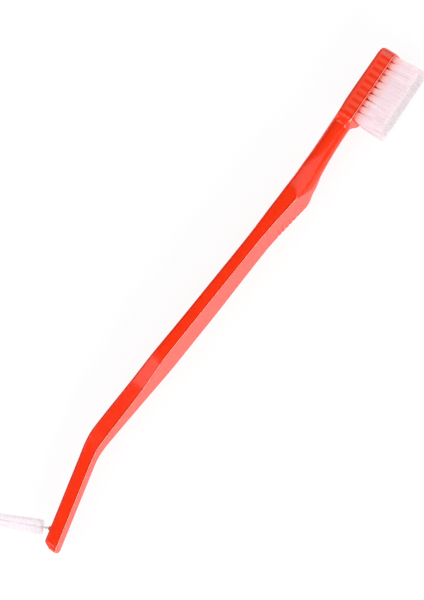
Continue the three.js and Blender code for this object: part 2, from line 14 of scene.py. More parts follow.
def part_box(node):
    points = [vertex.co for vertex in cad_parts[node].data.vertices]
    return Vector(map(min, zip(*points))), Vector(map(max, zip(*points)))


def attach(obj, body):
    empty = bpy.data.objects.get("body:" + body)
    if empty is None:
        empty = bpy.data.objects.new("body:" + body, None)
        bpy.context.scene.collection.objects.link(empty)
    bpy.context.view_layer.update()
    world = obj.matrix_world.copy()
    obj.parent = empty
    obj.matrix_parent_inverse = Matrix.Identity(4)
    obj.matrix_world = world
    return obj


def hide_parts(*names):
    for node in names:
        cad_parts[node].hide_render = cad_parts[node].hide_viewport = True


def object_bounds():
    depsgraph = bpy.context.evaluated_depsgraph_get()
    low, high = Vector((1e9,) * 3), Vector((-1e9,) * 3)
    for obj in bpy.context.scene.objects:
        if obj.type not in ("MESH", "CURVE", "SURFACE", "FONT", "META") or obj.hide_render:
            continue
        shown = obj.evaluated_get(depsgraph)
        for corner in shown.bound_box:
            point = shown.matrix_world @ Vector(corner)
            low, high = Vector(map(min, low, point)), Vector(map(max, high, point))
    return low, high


bl_info = {
    "name": "Pet toothbrush",
    "version": (1, 0, 0),
    "blender": (4, 5, 0),
    "location": "View3D > Sidebar > Toothbrush",
    "description": "Builds a tufted pet toothbrush with a twisted-wire brush in its tail",
    "category": "Add Mesh",
}

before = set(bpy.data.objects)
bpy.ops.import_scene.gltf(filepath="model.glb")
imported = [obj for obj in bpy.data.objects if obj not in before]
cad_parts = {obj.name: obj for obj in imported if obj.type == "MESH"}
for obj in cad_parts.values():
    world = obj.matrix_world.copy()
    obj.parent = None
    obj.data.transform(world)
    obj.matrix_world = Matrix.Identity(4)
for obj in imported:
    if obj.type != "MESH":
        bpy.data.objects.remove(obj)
CAD_BOX = [list(corner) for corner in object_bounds()]

BODY = "root"
MM = 0.001

# ---------------------------------------------------------------- sizes and colours


def length_property(name, description, millimetres):
    """A length that the panel shows in scene units."""
    return bpy.props.FloatProperty(
        name=name,
        description=description,
        default=millimetres * MM,
        min=0.0,
        unit="LENGTH",
        precision=5,
    )


def angle_property(name, description, degrees):
    """An angle that the panel shows in degrees."""
    return bpy.props.FloatProperty(
        name=name,
        description=description,
        default=math.radians(degrees),
        unit="ROTATION",
    )


def count_property(name, description, count):
    """A whole number of like pieces or steps."""
    return bpy.props.IntProperty(name=name, description=description, default=count, min=1)


def number_property(name, description, value):
    """A plain number with no unit."""
    return bpy.props.FloatProperty(name=name, description=description, default=value, min=0.0)


def colour_property(name, description, hex_colour):
    """A colour given as the sRGB hex value that it shows as."""
    return bpy.props.FloatVectorProperty(
        name=name,
        description=description,
        default=linear_colour(hex_colour),
        min=0.0,
        max=1.0,
        subtype="COLOR",
    )


def linear_colour(hex_colour):
    """An sRGB hex value as linear red, green and blue."""
    channels = [int(hex_colour[i : i + 2], 16) / 255 for i in (0, 2, 4)]
    return [c / 12.92 if c <= 0.04045 else ((c + 0.055) / 1.055) ** 2.4 for c in channels]


class HandleSizes(bpy.types.PropertyGroup):
    """The handle's middle line, from the end of the tail to the tip of the head."""

    tail_straight: length_property("Tail straight", "Straight part of the tail", 30.4)
    tail_bend_radius: length_property("Tail bend radius", "Radius of the bend in the tail", 29.0)
    tail_bend_angle: angle_property("Tail bend", "How far the tail is bent forwards", 17.7)
    handle_straight: length_property("Handle straight", "From the tail's bend to the neck", 91.5)
    neck_bend_radius: length_property("Neck bend radius", "Radius of the slow neck bend", 255.0)
    head_tilt: angle_property("Head tilt", "How far the head leans back", 5.4)
    neck_straight: length_property("Neck straight", "Straight part of the neck", 13.45)
    head_length: length_property("Head length", "From the heel to the tip of the head", 25.1)
    ring_spacing: length_property("Ring spacing", "Between the rings of the handle's mesh", 0.5)


class GripSizes(bpy.types.PropertyGroup):
    """The slanted grooves of the thumb grip."""

    count: count_property("Grooves", "Number of grooves", 7)
    pitch: length_property("Groove pitch", "From one groove to the next", 1.72)
    first: length_property("First groove", "From the crest of the grip to the first groove", 1.3)
    slant: angle_property("Groove slant", "Slant of the grooves across the face", 19.0)
    start: length_property("Groove start", "From the middle of the face to a groove's end", 0.9)
    radius: length_property("Groove radius", "Radius of a groove's round bottom", 0.42)
    depth: length_property("Groove depth", "Depth of a groove in the face", 0.24)


class TuftSizes(bpy.types.PropertyGroup):
    """The tufts of the head and the holes they are set in."""

    rows: count_property("Rows", "Rows of tufts along the head", 10)
    columns: count_property("Columns", "Columns of tufts across the head", 4)
    row_pitch: length_property("Row pitch", "From one row to the next", 2.36)
    column_pitch: length_property("Column pitch", "From one column to the next", 2.4)
    first_row: length_property("First row", "From the tip of the head to the first row", 1.95)
    hole_radius: length_property("Hole radius", "Radius of a tuft hole", 0.85)
    hole_depth: length_property("Hole depth", "Depth of a tuft hole", 3.7)
    bristle_length: length_property("Bristle length", "From the head's face to the tips", 9.8)
    bristle_radius: length_property("Bristle radius", "Radius of one nylon bristle", 0.09)
    bristles: count_property("Bristles in a tuft", "Bristle ends that stand up from a hole", 60)
    lean: angle_property("Bristle lean", "Lean of the bristles towards the tip", 3.0)
    spread: number_property("Tuft spread", "Width at the tips over the pitch", 1.08)
    heel_fan: length_property("Heel fan", "How far the last row fans out over the heel", 1.4)


class WireBrushSizes(bpy.types.PropertyGroup):
    """The small twisted-wire brush in the tail."""

    from_end: length_property("From the end", "From the end of the tail to the wire", 6.8)
    lean: angle_property("Wire lean", "Lean of the wire away from square", 10.9)
    wire_radius: length_property("Wire radius", "Radius of the steel wire", 0.15)
    twist_pitch: length_property("Twist pitch", "Length of one turn of the twist", 2.3)
    embedded: length_property("Embedded length", "Length of the wire inside the tail", 3.2)
    bare: length_property("Bare length", "Bare wire between the tail and the filaments", 3.0)
    leg_gap: length_property("Leg gap", "Between the two legs, where the filaments pass", 0.21)
    filament_radius: length_property("Filament radius", "Radius of one filament", 0.03)
    filaments: count_property("Filaments", "Filaments that pass through the wire", 1000)
    zone: length_property("Filament zone", "Length of wire that holds filaments", 15.0)
    reach_base: length_property("Reach at the base", "Radius of the brush at its base", 2.55)
    reach_tip: length_property("Reach at the tip", "Radius of the brush at its tip", 2.1)
    nub_height: length_property("Nub height", "Height of the nub round the wire", 1.0)
    nub_base_radius: length_property("Nub base radius", "Radius of the nub at the tail", 0.85)
    nub_top_radius: length_property("Nub top radius", "Radius of the nub at its top", 0.68)


class Finishes(bpy.types.PropertyGroup):
    """Colours of the materials."""

    plastic: colour_property("Plastic", "Colour of the handle", "FF3606")
    # Painted light where the white tufts would show through the head's walls.
    lit_plastic: colour_property("Lit plastic", "Painted light where a tuft would show through", "FF5A42")
    # Painted shade along the corners, and a painted highlight along the front corners.
    corner_shade_plastic: colour_property("Painted corner shade", "Painted shade along a corner", "A01203")
    corner_highlight_plastic: colour_property(
        "Painted corner highlight", "Painted highlight along a corner", "FFBCAA"
    )
    nylon: colour_property("Bristle", "Colour of the bristles", "F1E7EA")
    # Painted red light from the head on the bristles' roots and low parts.
    nylon_root_red_light: colour_property("Bristle root red light", "Painted red light on the bristles at the face", "FBBAAE")
    nylon_low_red_light: colour_property("Low bristle red light", "Painted red light on the bristles near the face", "F4D4D2")
    # The cut ends are painted lighter, as if lit as well as the bristles' sides.
    nylon_lit_tip: colour_property("Lit bristle tip", "Cut bristle ends, painted lighter", "FFFBFC")
    filament: colour_property("Filament", "Colour of the interdental filaments", "F6F1F4")
    anchor: colour_property("Anchors", "Colour of the flat metal anchors", "C9CACC")
    wire: colour_property("Wire", "Colour of the steel wire", "D5D7DA")


class StageSettings(bpy.types.PropertyGroup):
    """The camera, the floor and the lights."""

    floor: colour_property("Floor", "Colour of the floor", "F2F2F2")
    camera_turn: angle_property("Camera turn", "From straight above towards the bristles", 18.0)
    camera_roll: angle_property("Camera roll", "Slant of the brush in the picture", 38.9)
    camera_distance: length_property("Camera distance", "From the camera to the brush", 1500.0)
    view_height: length_property("View height", "Height of the field of view at the brush", 190.8)
    world: number_property("World", "Strength of the even light", 0.2)


# ---------------------------------------------------------------- the handle's form
# Sections are in millimetres. half_width is half the width, back and front are the distances
# from the middle line to the two faces, front_flat is half the flat of the front face, and
# front_round and back_round are the radii of the long corners. The plan, back and front of an end
# are the radii that round it off there, and its rake is how far it leans.

Section = namedtuple("Section", "half_width back front front_flat front_round back_round")
End = namedtuple("End", "plan back front rake")

SHARP_EDGE = 0.45
EDGE_FLAT_LOSS = 0.06
BODY_HALF_WIDTH = 6.45


def sharp_fronted(half_width, back, front, back_round=1.0):
    """A section whose front edges are sharp: the corner is barely eased."""
    return Section(half_width, back, front, half_width - EDGE_FLAT_LOSS, SHARP_EDGE, back_round)


def round_fronted(half_width, back, front, back_round):
    """A section whose front is fully round."""
    return Section(half_width, back, front, 0.0, half_width, back_round)


TAIL = sharp_fronted(2.4, 2.35, 2.35)
TAPER_END = sharp_fronted(3.05, 3.3, 2.35)
TAPER_MIDDLE = sharp_fronted(4.4, 2.96, 2.4)
BLADE_END = sharp_fronted(BODY_HALF_WIDTH, 2.45, 2.1)
BLADE = sharp_fronted(BODY_HALF_WIDTH, 2.26, 2.06)
WAIST = sharp_fronted(5.9, 2.38, 1.87)
GRIP_END = sharp_fronted(BODY_HALF_WIDTH, 2.6, 2.64)
CREST = Section(BODY_HALF_WIDTH, 2.7, 3.2, 6.2, 0.9, 1.1)
TONGUE = Section(6.35, 2.75, 3.4, 5.3, 2.6, 1.2)
TONGUE_TIP = Section(5.5, 3.05, 3.6, 1.3, 4.5, 1.5)
THROAT = round_fronted(4.2, 3.65, 2.78, 2.0)
NECK_MIDDLE = round_fronted(3.25, 3.95, 2.2, 2.4)
NECK = round_fronted(3.0, 4.15, 2.06, 2.8)
HEEL = sharp_fronted(5.35, 2.9, 2.55)
HEAD_ROOT = sharp_fronted(5.35, 3.1, 2.55)
HEAD = sharp_fronted(5.35, 2.8, 2.55)

TAPER_FOOT_LENGTH = 2.0
HEEL_SHOULDER_LENGTH = 3.2
HEEL_BACK_LENGTH = 4.8

# The sections from the foot of the taper to the neck, each with its distance from the last one.
RUNS = (
    (18.0, TAPER_MIDDLE),
    (14.4, BLADE_END),
    (17.6, BLADE),
    (27.0, WAIST),
    (14.2, GRIP_END),
    (4.9, CREST),
    (1.7, TONGUE),
    (4.2, TONGUE_TIP),
    (5.2, THROAT),
    (7.0, NECK_MIDDLE),
    (6.0, NECK),
)

TIP_END = End(plan=3.2, back=1.1, front=0.4, rake=0.0)
TAIL_END = End(plan=2.1, back=1.9, front=0.9, rake=math.radians(16))
RAKE_RUN = 4.5

# Points round one half of a section, and rings in a rounded end.
FRONT_STEPS = 5
SIDE_STEPS = 8
CORNER_STEPS = 9
END_STEPS = 14


class HandleForm:
    """The handle's middle line and its cross-section at any distance along it."""

    def __init__(self, sizes):
        self.stretches = [
            (sizes.tail_straight, 0.0),
            (sizes.tail_bend_radius * sizes.tail_bend_angle, -sizes.tail_bend_angle),
            (sizes.handle_straight, 0.0),
            (sizes.neck_bend_radius * sizes.head_tilt, sizes.head_tilt),
            (sizes.neck_straight + sizes.head_length, 0.0),
        ]
        self.start_angle = sizes.tail_bend_angle
        self.length = sum(length for length, _ in self.stretches)
        self.rows = self.placed_sections(sizes)
        self.slopes = [self.slopes_of(key) for key in range(len(Section._fields))]

    def frame_at(self, distance):
        """The frame at a distance along the middle line: +Y along it and +X to the front."""
        x, y, angle, left = 0.0, 0.0, self.start_angle, distance
        for length, turn in self.stretches:
            run = min(left, length)
            turned = turn * run / length
            if turned == 0.0:
                x -= run * math.sin(angle)
                y += run * math.cos(angle)
            else:
                radius = run / turned
                x += radius * (math.cos(angle + turned) - math.cos(angle))
                y += radius * (math.sin(angle + turned) - math.sin(angle))
            angle += turned
            left -= run
        return Matrix.Translation((x, y, 0.0)) @ Matrix.Rotation(angle, 4, "Z")

    def placed_sections(self, sizes):
        """The sections in order, each with its distance from the end of the tail."""
        bend = sizes.tail_bend_radius * sizes.tail_bend_angle
        rows = [(0.0, TAIL)]

        def add(run, section):
            """Places a section at a distance from the last one."""
            rows.append((rows[-1][0] + run, section))

        add(sizes.tail_straight, TAIL)
        add(bend + TAPER_FOOT_LENGTH * MM, TAPER_END)
        for run, section in RUNS:
            add(run * MM, section)
        self.crest_at = next(distance for distance, section in rows if section is CREST)
        heel = self.length - sizes.head_length
        add(heel - HEEL_SHOULDER_LENGTH * MM - rows[-1][0], NECK)
        add(HEEL_SHOULDER_LENGTH * MM, HEEL)
        add(HEEL_BACK_LENGTH * MM, HEAD_ROOT)
        add(self.length - rows[-1][0], HEAD)
        return rows

    def slopes_of(self, key):
        """Slopes that keep a smooth curve through the rows from overshooting any of them."""
        steps = [
            (b[1][key] - a[1][key]) / (b[0] - a[0]) for a, b in zip(self.rows, self.rows[1:])
        ]
        slopes = []
        for left, right in zip([0.0] + steps, steps + [0.0]):
            slopes.append(2 * left * right / (left + right) if left * right > 0 else 0.0)
        return slopes

    def section_at(self, distance):
        """The cross-section at a distance, on the smooth curve through the placed sections."""
        i = 1
        while i < len(self.rows) - 1 and self.rows[i][0] < distance:
            i += 1
        (start, a), (end, b) = self.rows[i - 1], self.rows[i]
        run = end - start
        t = min(max((distance - start) / run, 0.0), 1.0)
        return Section(
            *(
                a[key] * (2 * t**3 - 3 * t**2 + 1)
                + self.slopes[key][i - 1] * run * (t**3 - 2 * t**2 + t)
                + b[key] * (3 * t**2 - 2 * t**3)
                + self.slopes[key][i] * run * (t**3 - t**2)
                for key in range(len(Section._fields))
            )
        )

    def ring(self, distance):
        """The points of one ring. At a raked end the back stops short of the front."""
        from_tip = self.length - distance
        at_tail = distance < from_tip
        end = TAIL_END if at_tail else TIP_END
        depth = min(distance, from_tip) / MM
        section = section_in_end(self.section_at(distance), end, depth)
        nearness = max(1 - depth / RAKE_RUN, 0.0)
        lean = math.tan(end.rake) * nearness * (1 if at_tail else -1)
        place = self.frame_at(distance)
        points = []
        for x, z in outline_of(section):
            rise = lean * (x - section.front)
            points.append(place @ (Vector((x, -rise, z)) * MM))
        return points

    def stations(self, spacing):
        """Distances of the rings: even along the handle and close together in its round ends."""

        def depths(end):
            """How deep in a rounded end each of its rings lies."""
            turns = [math.pi / 2 * i / END_STEPS for i in range(END_STEPS)]
            return [end.plan * MM * (1 - math.cos(turn)) for turn in turns]

        first = TAIL_END.plan * MM
        last = self.length - TIP_END.plan * MM
        count = math.ceil((last - first) / spacing)
        middle = [first + (last - first) * i / count for i in range(count + 1)]
        tip = [self.length - depth for depth in depths(TIP_END)]
        return depths(TAIL_END) + middle + tip[::-1]


def arc(middle_x, middle_z, radius, start, end, steps):
    """Points on an arc, measured from the side (+Z) towards the front (+X)."""
    turns = [start + (end - start) * i / steps for i in range(steps + 1)]
    return [
        (middle_x + radius * math.sin(turn), middle_z + radius * math.cos(turn)) for turn in turns
    ]


def between(a, b, steps):
    """The points strictly between two points."""
    return [
        (a[0] + (b[0] - a[0]) * i / steps, a[1] + (b[1] - a[1]) * i / steps)
        for i in range(1, steps)
    ]


def outline_of(section):
    """A section's outline as (x, z) points, the same number for every section."""
    s = section
    cosine = (s.front_flat - s.half_width + s.front_round) / s.front_round
    front_turn = math.acos(min(max(cosine, 0.0), 1.0))
    front_x = s.front - s.front_round * math.sin(front_turn)
    front_corner = arc(
        front_x, s.half_width - s.front_round, s.front_round, front_turn, 0.0, CORNER_STEPS
    )
    back_corner = arc(
        s.back_round - s.back,
        s.half_width - s.back_round,
        s.back_round,
        0.0,
        -math.pi / 2,
        CORNER_STEPS,
    )
    half = (
        between((s.front, 0.0), front_corner[0], FRONT_STEPS)
        + front_corner
        + between(front_corner[-1], back_corner[0], SIDE_STEPS)
        + back_corner
        + between(back_corner[-1], (-s.back, 0.0), FRONT_STEPS)
    )
    mirrored = [(x, -z) for x, z in half]
    return [(s.front, 0.0)] + half + [(-s.back, 0.0)] + mirrored[::-1]


def end_loss(radius, depth):
    """How much a rounded end has taken off at a depth from the end."""
    away = max(radius - depth, 0.0)
    return radius - math.sqrt(radius**2 - away**2)


def section_in_end(section, end, depth):
    """The section at a depth inside a rounded end."""
    width_loss = end_loss(end.plan, depth)
    return section._replace(
        half_width=section.half_width - width_loss,
        front_flat=section.front_flat - width_loss,
        back=section.back - end_loss(end.back, depth),
        front=section.front - end_loss(end.front, depth),
    )


# Painted shade and painted highlight at the points across a corner. Up to 1 a painted shade
# stands in for light turned back inside, and down to -1 a painted highlight for that light coming
# out. The front corner's values run from the front round to the side, and the back corner's from
# the side to the back. The painted light is full at the first radius in millimetres and gone at
# the second.
PAINTED_CORNER_LIGHT_ATTRIBUTE = "edge"
FRONT_CORNER_SHADE_AND_HIGHLIGHT = (0.6, 0.2, -1.0, -1.0, -1.0, -1.0, -1.0, 0.2, 0.6, 0.8)
BACK_CORNER_SHADE = (0.2, 0.4, 0.7, 1.0, 1.0, 1.0, 1.0, 1.0, 1.0, 1.0)
CORNER_PAINT_FULL_RADIUS = 0.45
CORNER_PAINT_GONE_RADIUS = 1.6


def painted_corner_shading(section):
    """Painted shade (to 1) and painted highlight (to -1) at each point of a section's outline."""

    def corner(depths, radius):
        """A corner's painted shade and highlight, weaker the rounder the corner is."""
        share = (CORNER_PAINT_GONE_RADIUS - radius) / (CORNER_PAINT_GONE_RADIUS - CORNER_PAINT_FULL_RADIUS)
        return [max(share, 0.0) * depth for depth in depths]

    front, side = [0.0] * (FRONT_STEPS - 1), [0.0] * (SIDE_STEPS - 1)
    front_corner = corner(FRONT_CORNER_SHADE_AND_HIGHLIGHT, section.front_round)
    back_corner = corner(BACK_CORNER_SHADE, section.back_round)
    half = front + front_corner + side + back_corner + front
    return [0.0] + half + [0.0] + half[::-1]


# Fit and facets. A groove's ends are eased by a share of its radius, and points that lie nearer
# than SAME_POINT are one.
COARSE_SPACING = 2 * MM
CUT_OVERSHOOT = 1 * MM
HOLE_CLEARANCE = 0.05 * MM
SLOT_CLEARANCE = 0.03 * MM
FOLD_CLEARANCE = 0.05 * MM
ANCHOR_HEIGHT = 1.2 * MM
ANCHOR_THICKNESS = 0.25 * MM
ANCHOR_BITE = 0.1 * MM
ANCHOR_TURN = math.radians(35)
HOLE_SIDES = 32
WIRE_HOLE_SIDES = 24
NUB_SIDES = 48
GROOVE_SIDES = 32
SMOOTH_ANGLE = math.radians(30)
SAME_POINT = 1e-6
WIDE_FACE_WEIGHT = 100
EASING_STEPS = 4
NUB_EASING = 0.25 * MM
GROOVE_END_SHARE = 0.6

# Bristles and filaments. A tuft opens by the power TUFT_OPENING of the height, and its bundle in
# the hole has rings of a given height and radius, as shares of the whole. Turns are in radians.
FIELDS = (
    ("bristles_tip_rows", range(0, 3)),
    ("bristles_middle_rows", range(3, 7)),
    ("bristles_heel_rows", range(7, 10)),
)
TUFT_SEED = 11
TUFT_OPENING = 0.22
BUNDLE_STEPS = 16
BUNDLE_FLUTE = 0.08
BUNDLE_RINGS = ((0.0, 0.55), (0.1, 0.85), (0.3, 1.0), (1.0, 1.0))
BRISTLE_OVERLAP = 0.6 * MM
BRISTLE_STEPS = 8
BRISTLE_SIDES = 4
BRISTLE_SWAY = 0.08 * MM
BRISTLE_TURN = 0.2
FILAMENT_SEED = 5
FILAMENT_STEPS = 4
FILAMENT_SIDES = 3
FILAMENT_FAN = math.radians(90)
FILAMENT_BEND = 0.12 * MM
FILAMENT_OFFSET = 0.3
FILAMENT_SHORTEST = 0.97
WIRE_STEPS = 24
WIRE_ROUNDNESS = 3
FOLD_STEPS = 10

# The plastic: how far red, green and blue light spread in it, in millimetres, how softly the
# painted light bars over the tuft holes end, where a bar fades out and is full in row pitches off
# its row, the painted glow behind the holes and how far inside the outer rows' edges it stops in
# pitches, and the strength of the skin's waves and the range of its roughness.
LIGHT_SPREAD = (1.0, 0.25, 0.15)
BAR_FADE = 0.4 * MM
BAR_EDGES = (0.48, 0.04)
BEHIND_HOLES = 0.7
ROWS_MARGIN = 0.01
WAVE_STRENGTH = 0.15
PLASTIC_GLOSS = (0.12, 0.18)

# The nylon: the share of light that a strand passes on inside, how clear it is to the eye and to
# the light, its milkiness, and the heights at which a bristle has its painted red light from the
# head, is clear of that painted light, and has its painted lighter cut end, as shares of its
# length.
THROUGH_SHARE = 0.4
SEEN_CLEARNESS = 0.1
LIT_CLEARNESS = 0.97
NYLON_MILK = (0.97, 1.0)
BRISTLE_LOW_RED_LIGHT = 0.12
BRISTLE_CLEAR = 0.4
BRISTLE_CUT = 0.985

# Scales of the patterns in the materials, the range that holds most of a noise's values, and how
# far a metal's roughness strays from its mean.
PLASTIC_WAVE = 9 * MM
PLASTIC_WAVE_DEPTH = 0.02 * MM
HANDLING_MARK = 1.5 * MM
STRAND_VARIATION = 0.5 * MM
DRAWN_LINE = 0.1 * MM
NOISE_SPAN = (0.3, 0.7)
METAL_UNEVENNESS = 0.08

# The stage. The camera aims this many millimetres away from the middle of the brush. A softbox
# has its name, place, target, size and radiance.
FLOOR_RADIUS = 4.0
FLOOR_SIDES = 96
FLOOR_DROP = 0.05 * MM
FLOOR_SHADE = 0.15
FLOOR_GLOW = 0.86
CAMERA_AIM = (-1.3, 0.37, 0.0)
FARTHEST_SEEN = 20.0
SOFTBOXES = (
    ("head_box", (0.1, 0.8, 0.65), (0.0, 0.0, 0.0), (2.4, 1.2), 1.2),
    ("tail_box", (-0.2, -0.7, 0.75), (0.0, 0.0, 0.0), (1.6, 0.9), 1.65),
    ("bristle_box", (0.92, -0.55, 0.38), (0.0, -0.5, 0.0), (1.3, 0.45), 6.5),
)


# ---------------------------------------------------------------- making and finishing meshes


def deselect_all():
    """Nothing stays selected or active."""
    bpy.ops.object.select_all(action="DESELECT")
    bpy.context.view_layer.objects.active = None


def only(piece):
    """The piece alone is selected and active."""
    deselect_all()
    piece.select_set(True)
    bpy.context.view_layer.objects.active = piece


def add_object(name, data):
    """A new object in the scene with a mesh, curve, light or camera."""
    made = bpy.data.objects.new(name, data)
    bpy.context.scene.collection.objects.link(made)
    return made


def mesh_object(name, points, faces):
    """A new object with a mesh from points and faces."""
    mesh = bpy.data.meshes.new(name)
    mesh.from_pydata(points, [], faces)
    mesh.validate()
    return add_object(name, mesh)


def faces_round(first, rings, sides):
    """The faces over a row of rings, whose points are numbered on from the first one, and the
    two faces that close its ends."""
    faces = []
    for ring in range(first, first + (rings - 1) * sides, sides):
        for i in range(sides):
            a, b = ring + i, ring + (i + 1) % sides
            faces.append((a, b, b + sides, a + sides))
    last = first + (rings - 1) * sides
    faces.append(tuple(range(first, first + sides))[::-1])
    faces.append(tuple(range(last, last + sides)))
    return faces


def skin_over(name, rings):
    """A skin over a row of rings with the same number of points, with its ends closed."""
    points = [point for ring in rings for point in ring]
    return mesh_object(name, points, faces_round(0, len(rings), len(rings[0])))


def edit_all(piece, operator, **settings):
    """Runs an edit mode operator on the whole mesh of a piece."""
    only(piece)
    bpy.ops.object.mode_set(mode="EDIT")
    bpy.ops.mesh.select_all(action="SELECT")
    operator(**settings)
    bpy.ops.object.mode_set(mode="OBJECT")


def face_outwards(piece):
    """Every face of a closed piece points outwards."""
    edit_all(piece, bpy.ops.mesh.normals_make_consistent, inside=False)


def apply_modifier(piece, modifier):
    """The modifier becomes part of the mesh."""
    only(piece)
    bpy.ops.object.modifier_apply(modifier=modifier.name)


def combine(piece, other, operation):
    """Joins another closed piece to this one, or cuts it away, and removes the other."""
    step = piece.modifiers.new(operation.title(), "BOOLEAN")
    step.operation = operation
    step.solver = "EXACT"
    step.object = other
    apply_modifier(piece, step)
    bpy.data.objects.remove(other)


def ease_corners(piece, width):
    """The sharp corners of a piece become round."""
    bevel = piece.modifiers.new("Eased corners", "BEVEL")
    bevel.width = width
    bevel.segments = EASING_STEPS
    bevel.limit_method = "ANGLE"
    apply_modifier(piece, bevel)


def joined(pieces):
    """The first of the pieces, with the others joined to it."""
    only(pieces[0])
    for piece in pieces:
        piece.select_set(True)
    bpy.ops.object.join()
    return pieces[0]


def copies_joined(name, pattern, places):
    """Copies of a pattern piece at many places as one object. The pattern is removed."""
    pieces = []
    for place in places:
        pieces.append(add_object(name, pattern.data.copy()))
        pieces[-1].data.transform(place)
    bpy.data.objects.remove(pattern)
    return joined(pieces)


def shade_smooth(piece, angle):
    """Smooth shading up to an angle between faces, with wide faces setting the normals."""
    only(piece)
    bpy.ops.object.shade_smooth_by_angle(angle=angle)
    weighted = piece.modifiers.new("Weighted normals", "WEIGHTED_NORMAL")
    weighted.keep_sharp = True
    weighted.weight = WIDE_FACE_WEIGHT
    apply_modifier(piece, weighted)


def cylinder(radius, length, sides):
    """A cylinder along +X with its start at the origin."""
    deselect_all()
    bpy.ops.mesh.primitive_cylinder_add(radius=radius, depth=length, vertices=sides)
    piece = bpy.context.active_object
    turn = Matrix.Rotation(math.pi / 2, 4, "Y")
    piece.data.transform(Matrix.Translation((length / 2, 0.0, 0.0)) @ turn)
    return piece


def shade_smooth_strands(piece):
    """Strands are round, so their few four-sided sides shade as one."""
    polygons = piece.data.polygons
    polygons.foreach_set("use_smooth", [len(polygon.vertices) == 4 for polygon in polygons])


# ---------------------------------------------------------------- shared places


def handle_frames():
    """The handle's form, and the move that puts its middle line where the frame's handle lies."""
    form = HandleForm(bpy.context.scene.brush_handle)
    points = [p for s in form.stations(COARSE_SPACING) for p in form.ring(s)]
    low = Vector(min(p[axis] for p in points) for axis in range(3))
    high = Vector(max(p[axis] for p in points) for axis in range(3))
    cad_low, cad_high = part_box("handle")
    return form, Matrix.Translation((cad_low + cad_high - low - high) / 2)


def head_frame():
    """The head's own frame: its tip at y = 0, +X out of the face."""
    form, shift = handle_frames()
    return shift @ form.frame_at(form.length)


def wire_frame():
    """The wire's own frame: its root on the tail's back face, +Y along the wire."""
    form, shift = handle_frames()
    sizes = bpy.context.scene.brush_wire
    root = form.frame_at(0.0) @ Vector((-TAIL.back * MM, sizes.from_end, 0.0))
    turn = Matrix.Rotation(form.start_angle + math.pi / 2 + sizes.lean, 4, "Z")
    return shift @ Matrix.Translation(root) @ turn


def tuft_places():
    """The middle of each tuft in the head's own frame, row by row from the tip."""
    sizes = bpy.context.scene.brush_tufts
    middle = (sizes.columns - 1) / 2
    return [
        Vector((0.0, -sizes.first_row - row * sizes.row_pitch, (c - middle) * sizes.column_pitch))
        for row in range(sizes.rows)
        for c in range(sizes.columns)
    ]


# ---------------------------------------------------------------- materials


def add_node(nodes, kind, settings=()):
    """One node with its settings and links. A setting names an attribute or an input socket, and
    a value that is another node's socket is linked."""
    node = nodes.new(kind)
    for name, value in dict(settings).items():
        if isinstance(value, bpy.types.NodeSocket):
            node.id_data.links.new(value, node.inputs[name])
        elif isinstance(name, str) and hasattr(node, name):
            setattr(node, name, value)
        else:
            node.inputs[name].default_value = value
    return node


def new_material(name):
    """An empty node material, as (material, nodes)."""
    material = bpy.data.materials.new(name)
    material.use_nodes = True
    material.node_tree.nodes.clear()
    return material, material.node_tree.nodes


def rgba(colour):
    """A colour with full opacity."""
    return (*colour, 1.0)


def uneven(nodes, place, size, low, high, detail, roughness=0.5):
    """A value that wanders between two others, in marks of about the given size."""
    marks = {"Vector": place, "Scale": 1 / size, "Detail": detail, "Roughness": roughness}
    spread = {
        "Value": add_node(nodes, "ShaderNodeTexNoise", marks).outputs["Fac"],
        "From Min": NOISE_SPAN[0],
        "From Max": NOISE_SPAN[1],
        "To Min": low,
        "To Max": high,
    }
    return add_node(nodes, "ShaderNodeMapRange", spread).outputs["Result"]


def along_head(nodes, place):
    """The place in the head's own frame, as sockets X out of the face, Y along and Z across."""
    frame_of_head = head_frame()
    moved = {
        "vector_type": "TEXTURE",
        "Vector": place,
        "Location": frame_of_head.to_translation(),
        "Rotation": frame_of_head.to_euler(),
    }
    in_head = add_node(nodes, "ShaderNodeMapping", moved).outputs["Vector"]
    return add_node(nodes, "ShaderNodeSeparateXYZ", {"Vector": in_head}).outputs


def painted_tuft_glow(nodes, place):
    """The painted light, from 0 to 1, where a tuft in its hole would show through the wall of the
    head:
    a painted bar at each row, from the bottom of the hole to the head's face, and an even painted
    glow behind them."""
    sizes = bpy.context.scene.brush_tufts
    in_head = along_head(nodes, place)
    first_edge = sizes.first_row - sizes.row_pitch / 2
    numbered = {
        "Value": in_head["Y"],
        "From Min": -first_edge,
        "From Max": -first_edge - sizes.rows * sizes.row_pitch,
        "To Min": -0.5,
        "To Max": sizes.rows - 0.5,
    }
    row = add_node(nodes, "ShaderNodeMapRange", numbered).outputs["Result"]
    folded = {"operation": "PINGPONG", 0: row, 1: 0.5}
    off_row = add_node(nodes, "ShaderNodeMath", folded).outputs["Value"]
    softened = {
        "interpolation_type": "SMOOTHSTEP",
        "Value": off_row,
        "From Min": BAR_EDGES[0],
        "From Max": BAR_EDGES[1],
    }
    bar = add_node(nodes, "ShaderNodeMapRange", softened).outputs["Result"]
    floor = HEAD.front * MM - sizes.hole_depth
    faded = {
        "interpolation_type": "SMOOTHSTEP",
        "Value": in_head["X"],
        "From Min": floor - BAR_FADE,
        "From Max": floor + BAR_FADE,
    }
    depth = add_node(nodes, "ShaderNodeMapRange", faded).outputs["Result"]
    middle = sizes.rows / 2 - 0.5
    along = {"operation": "COMPARE", 0: row, 1: middle, 2: sizes.rows / 2 - ROWS_MARGIN}
    among_rows = add_node(nodes, "ShaderNodeMath", along).outputs["Value"]
    dimmed = {"operation": "MULTIPLY", 0: among_rows, 1: BEHIND_HOLES}
    behind = add_node(nodes, "ShaderNodeMath", dimmed).outputs["Value"]
    glow = {"data_type": "FLOAT", 0: depth, 2: behind, 3: bar}
    return add_node(nodes, "ShaderNodeMix", glow).outputs["Result"]


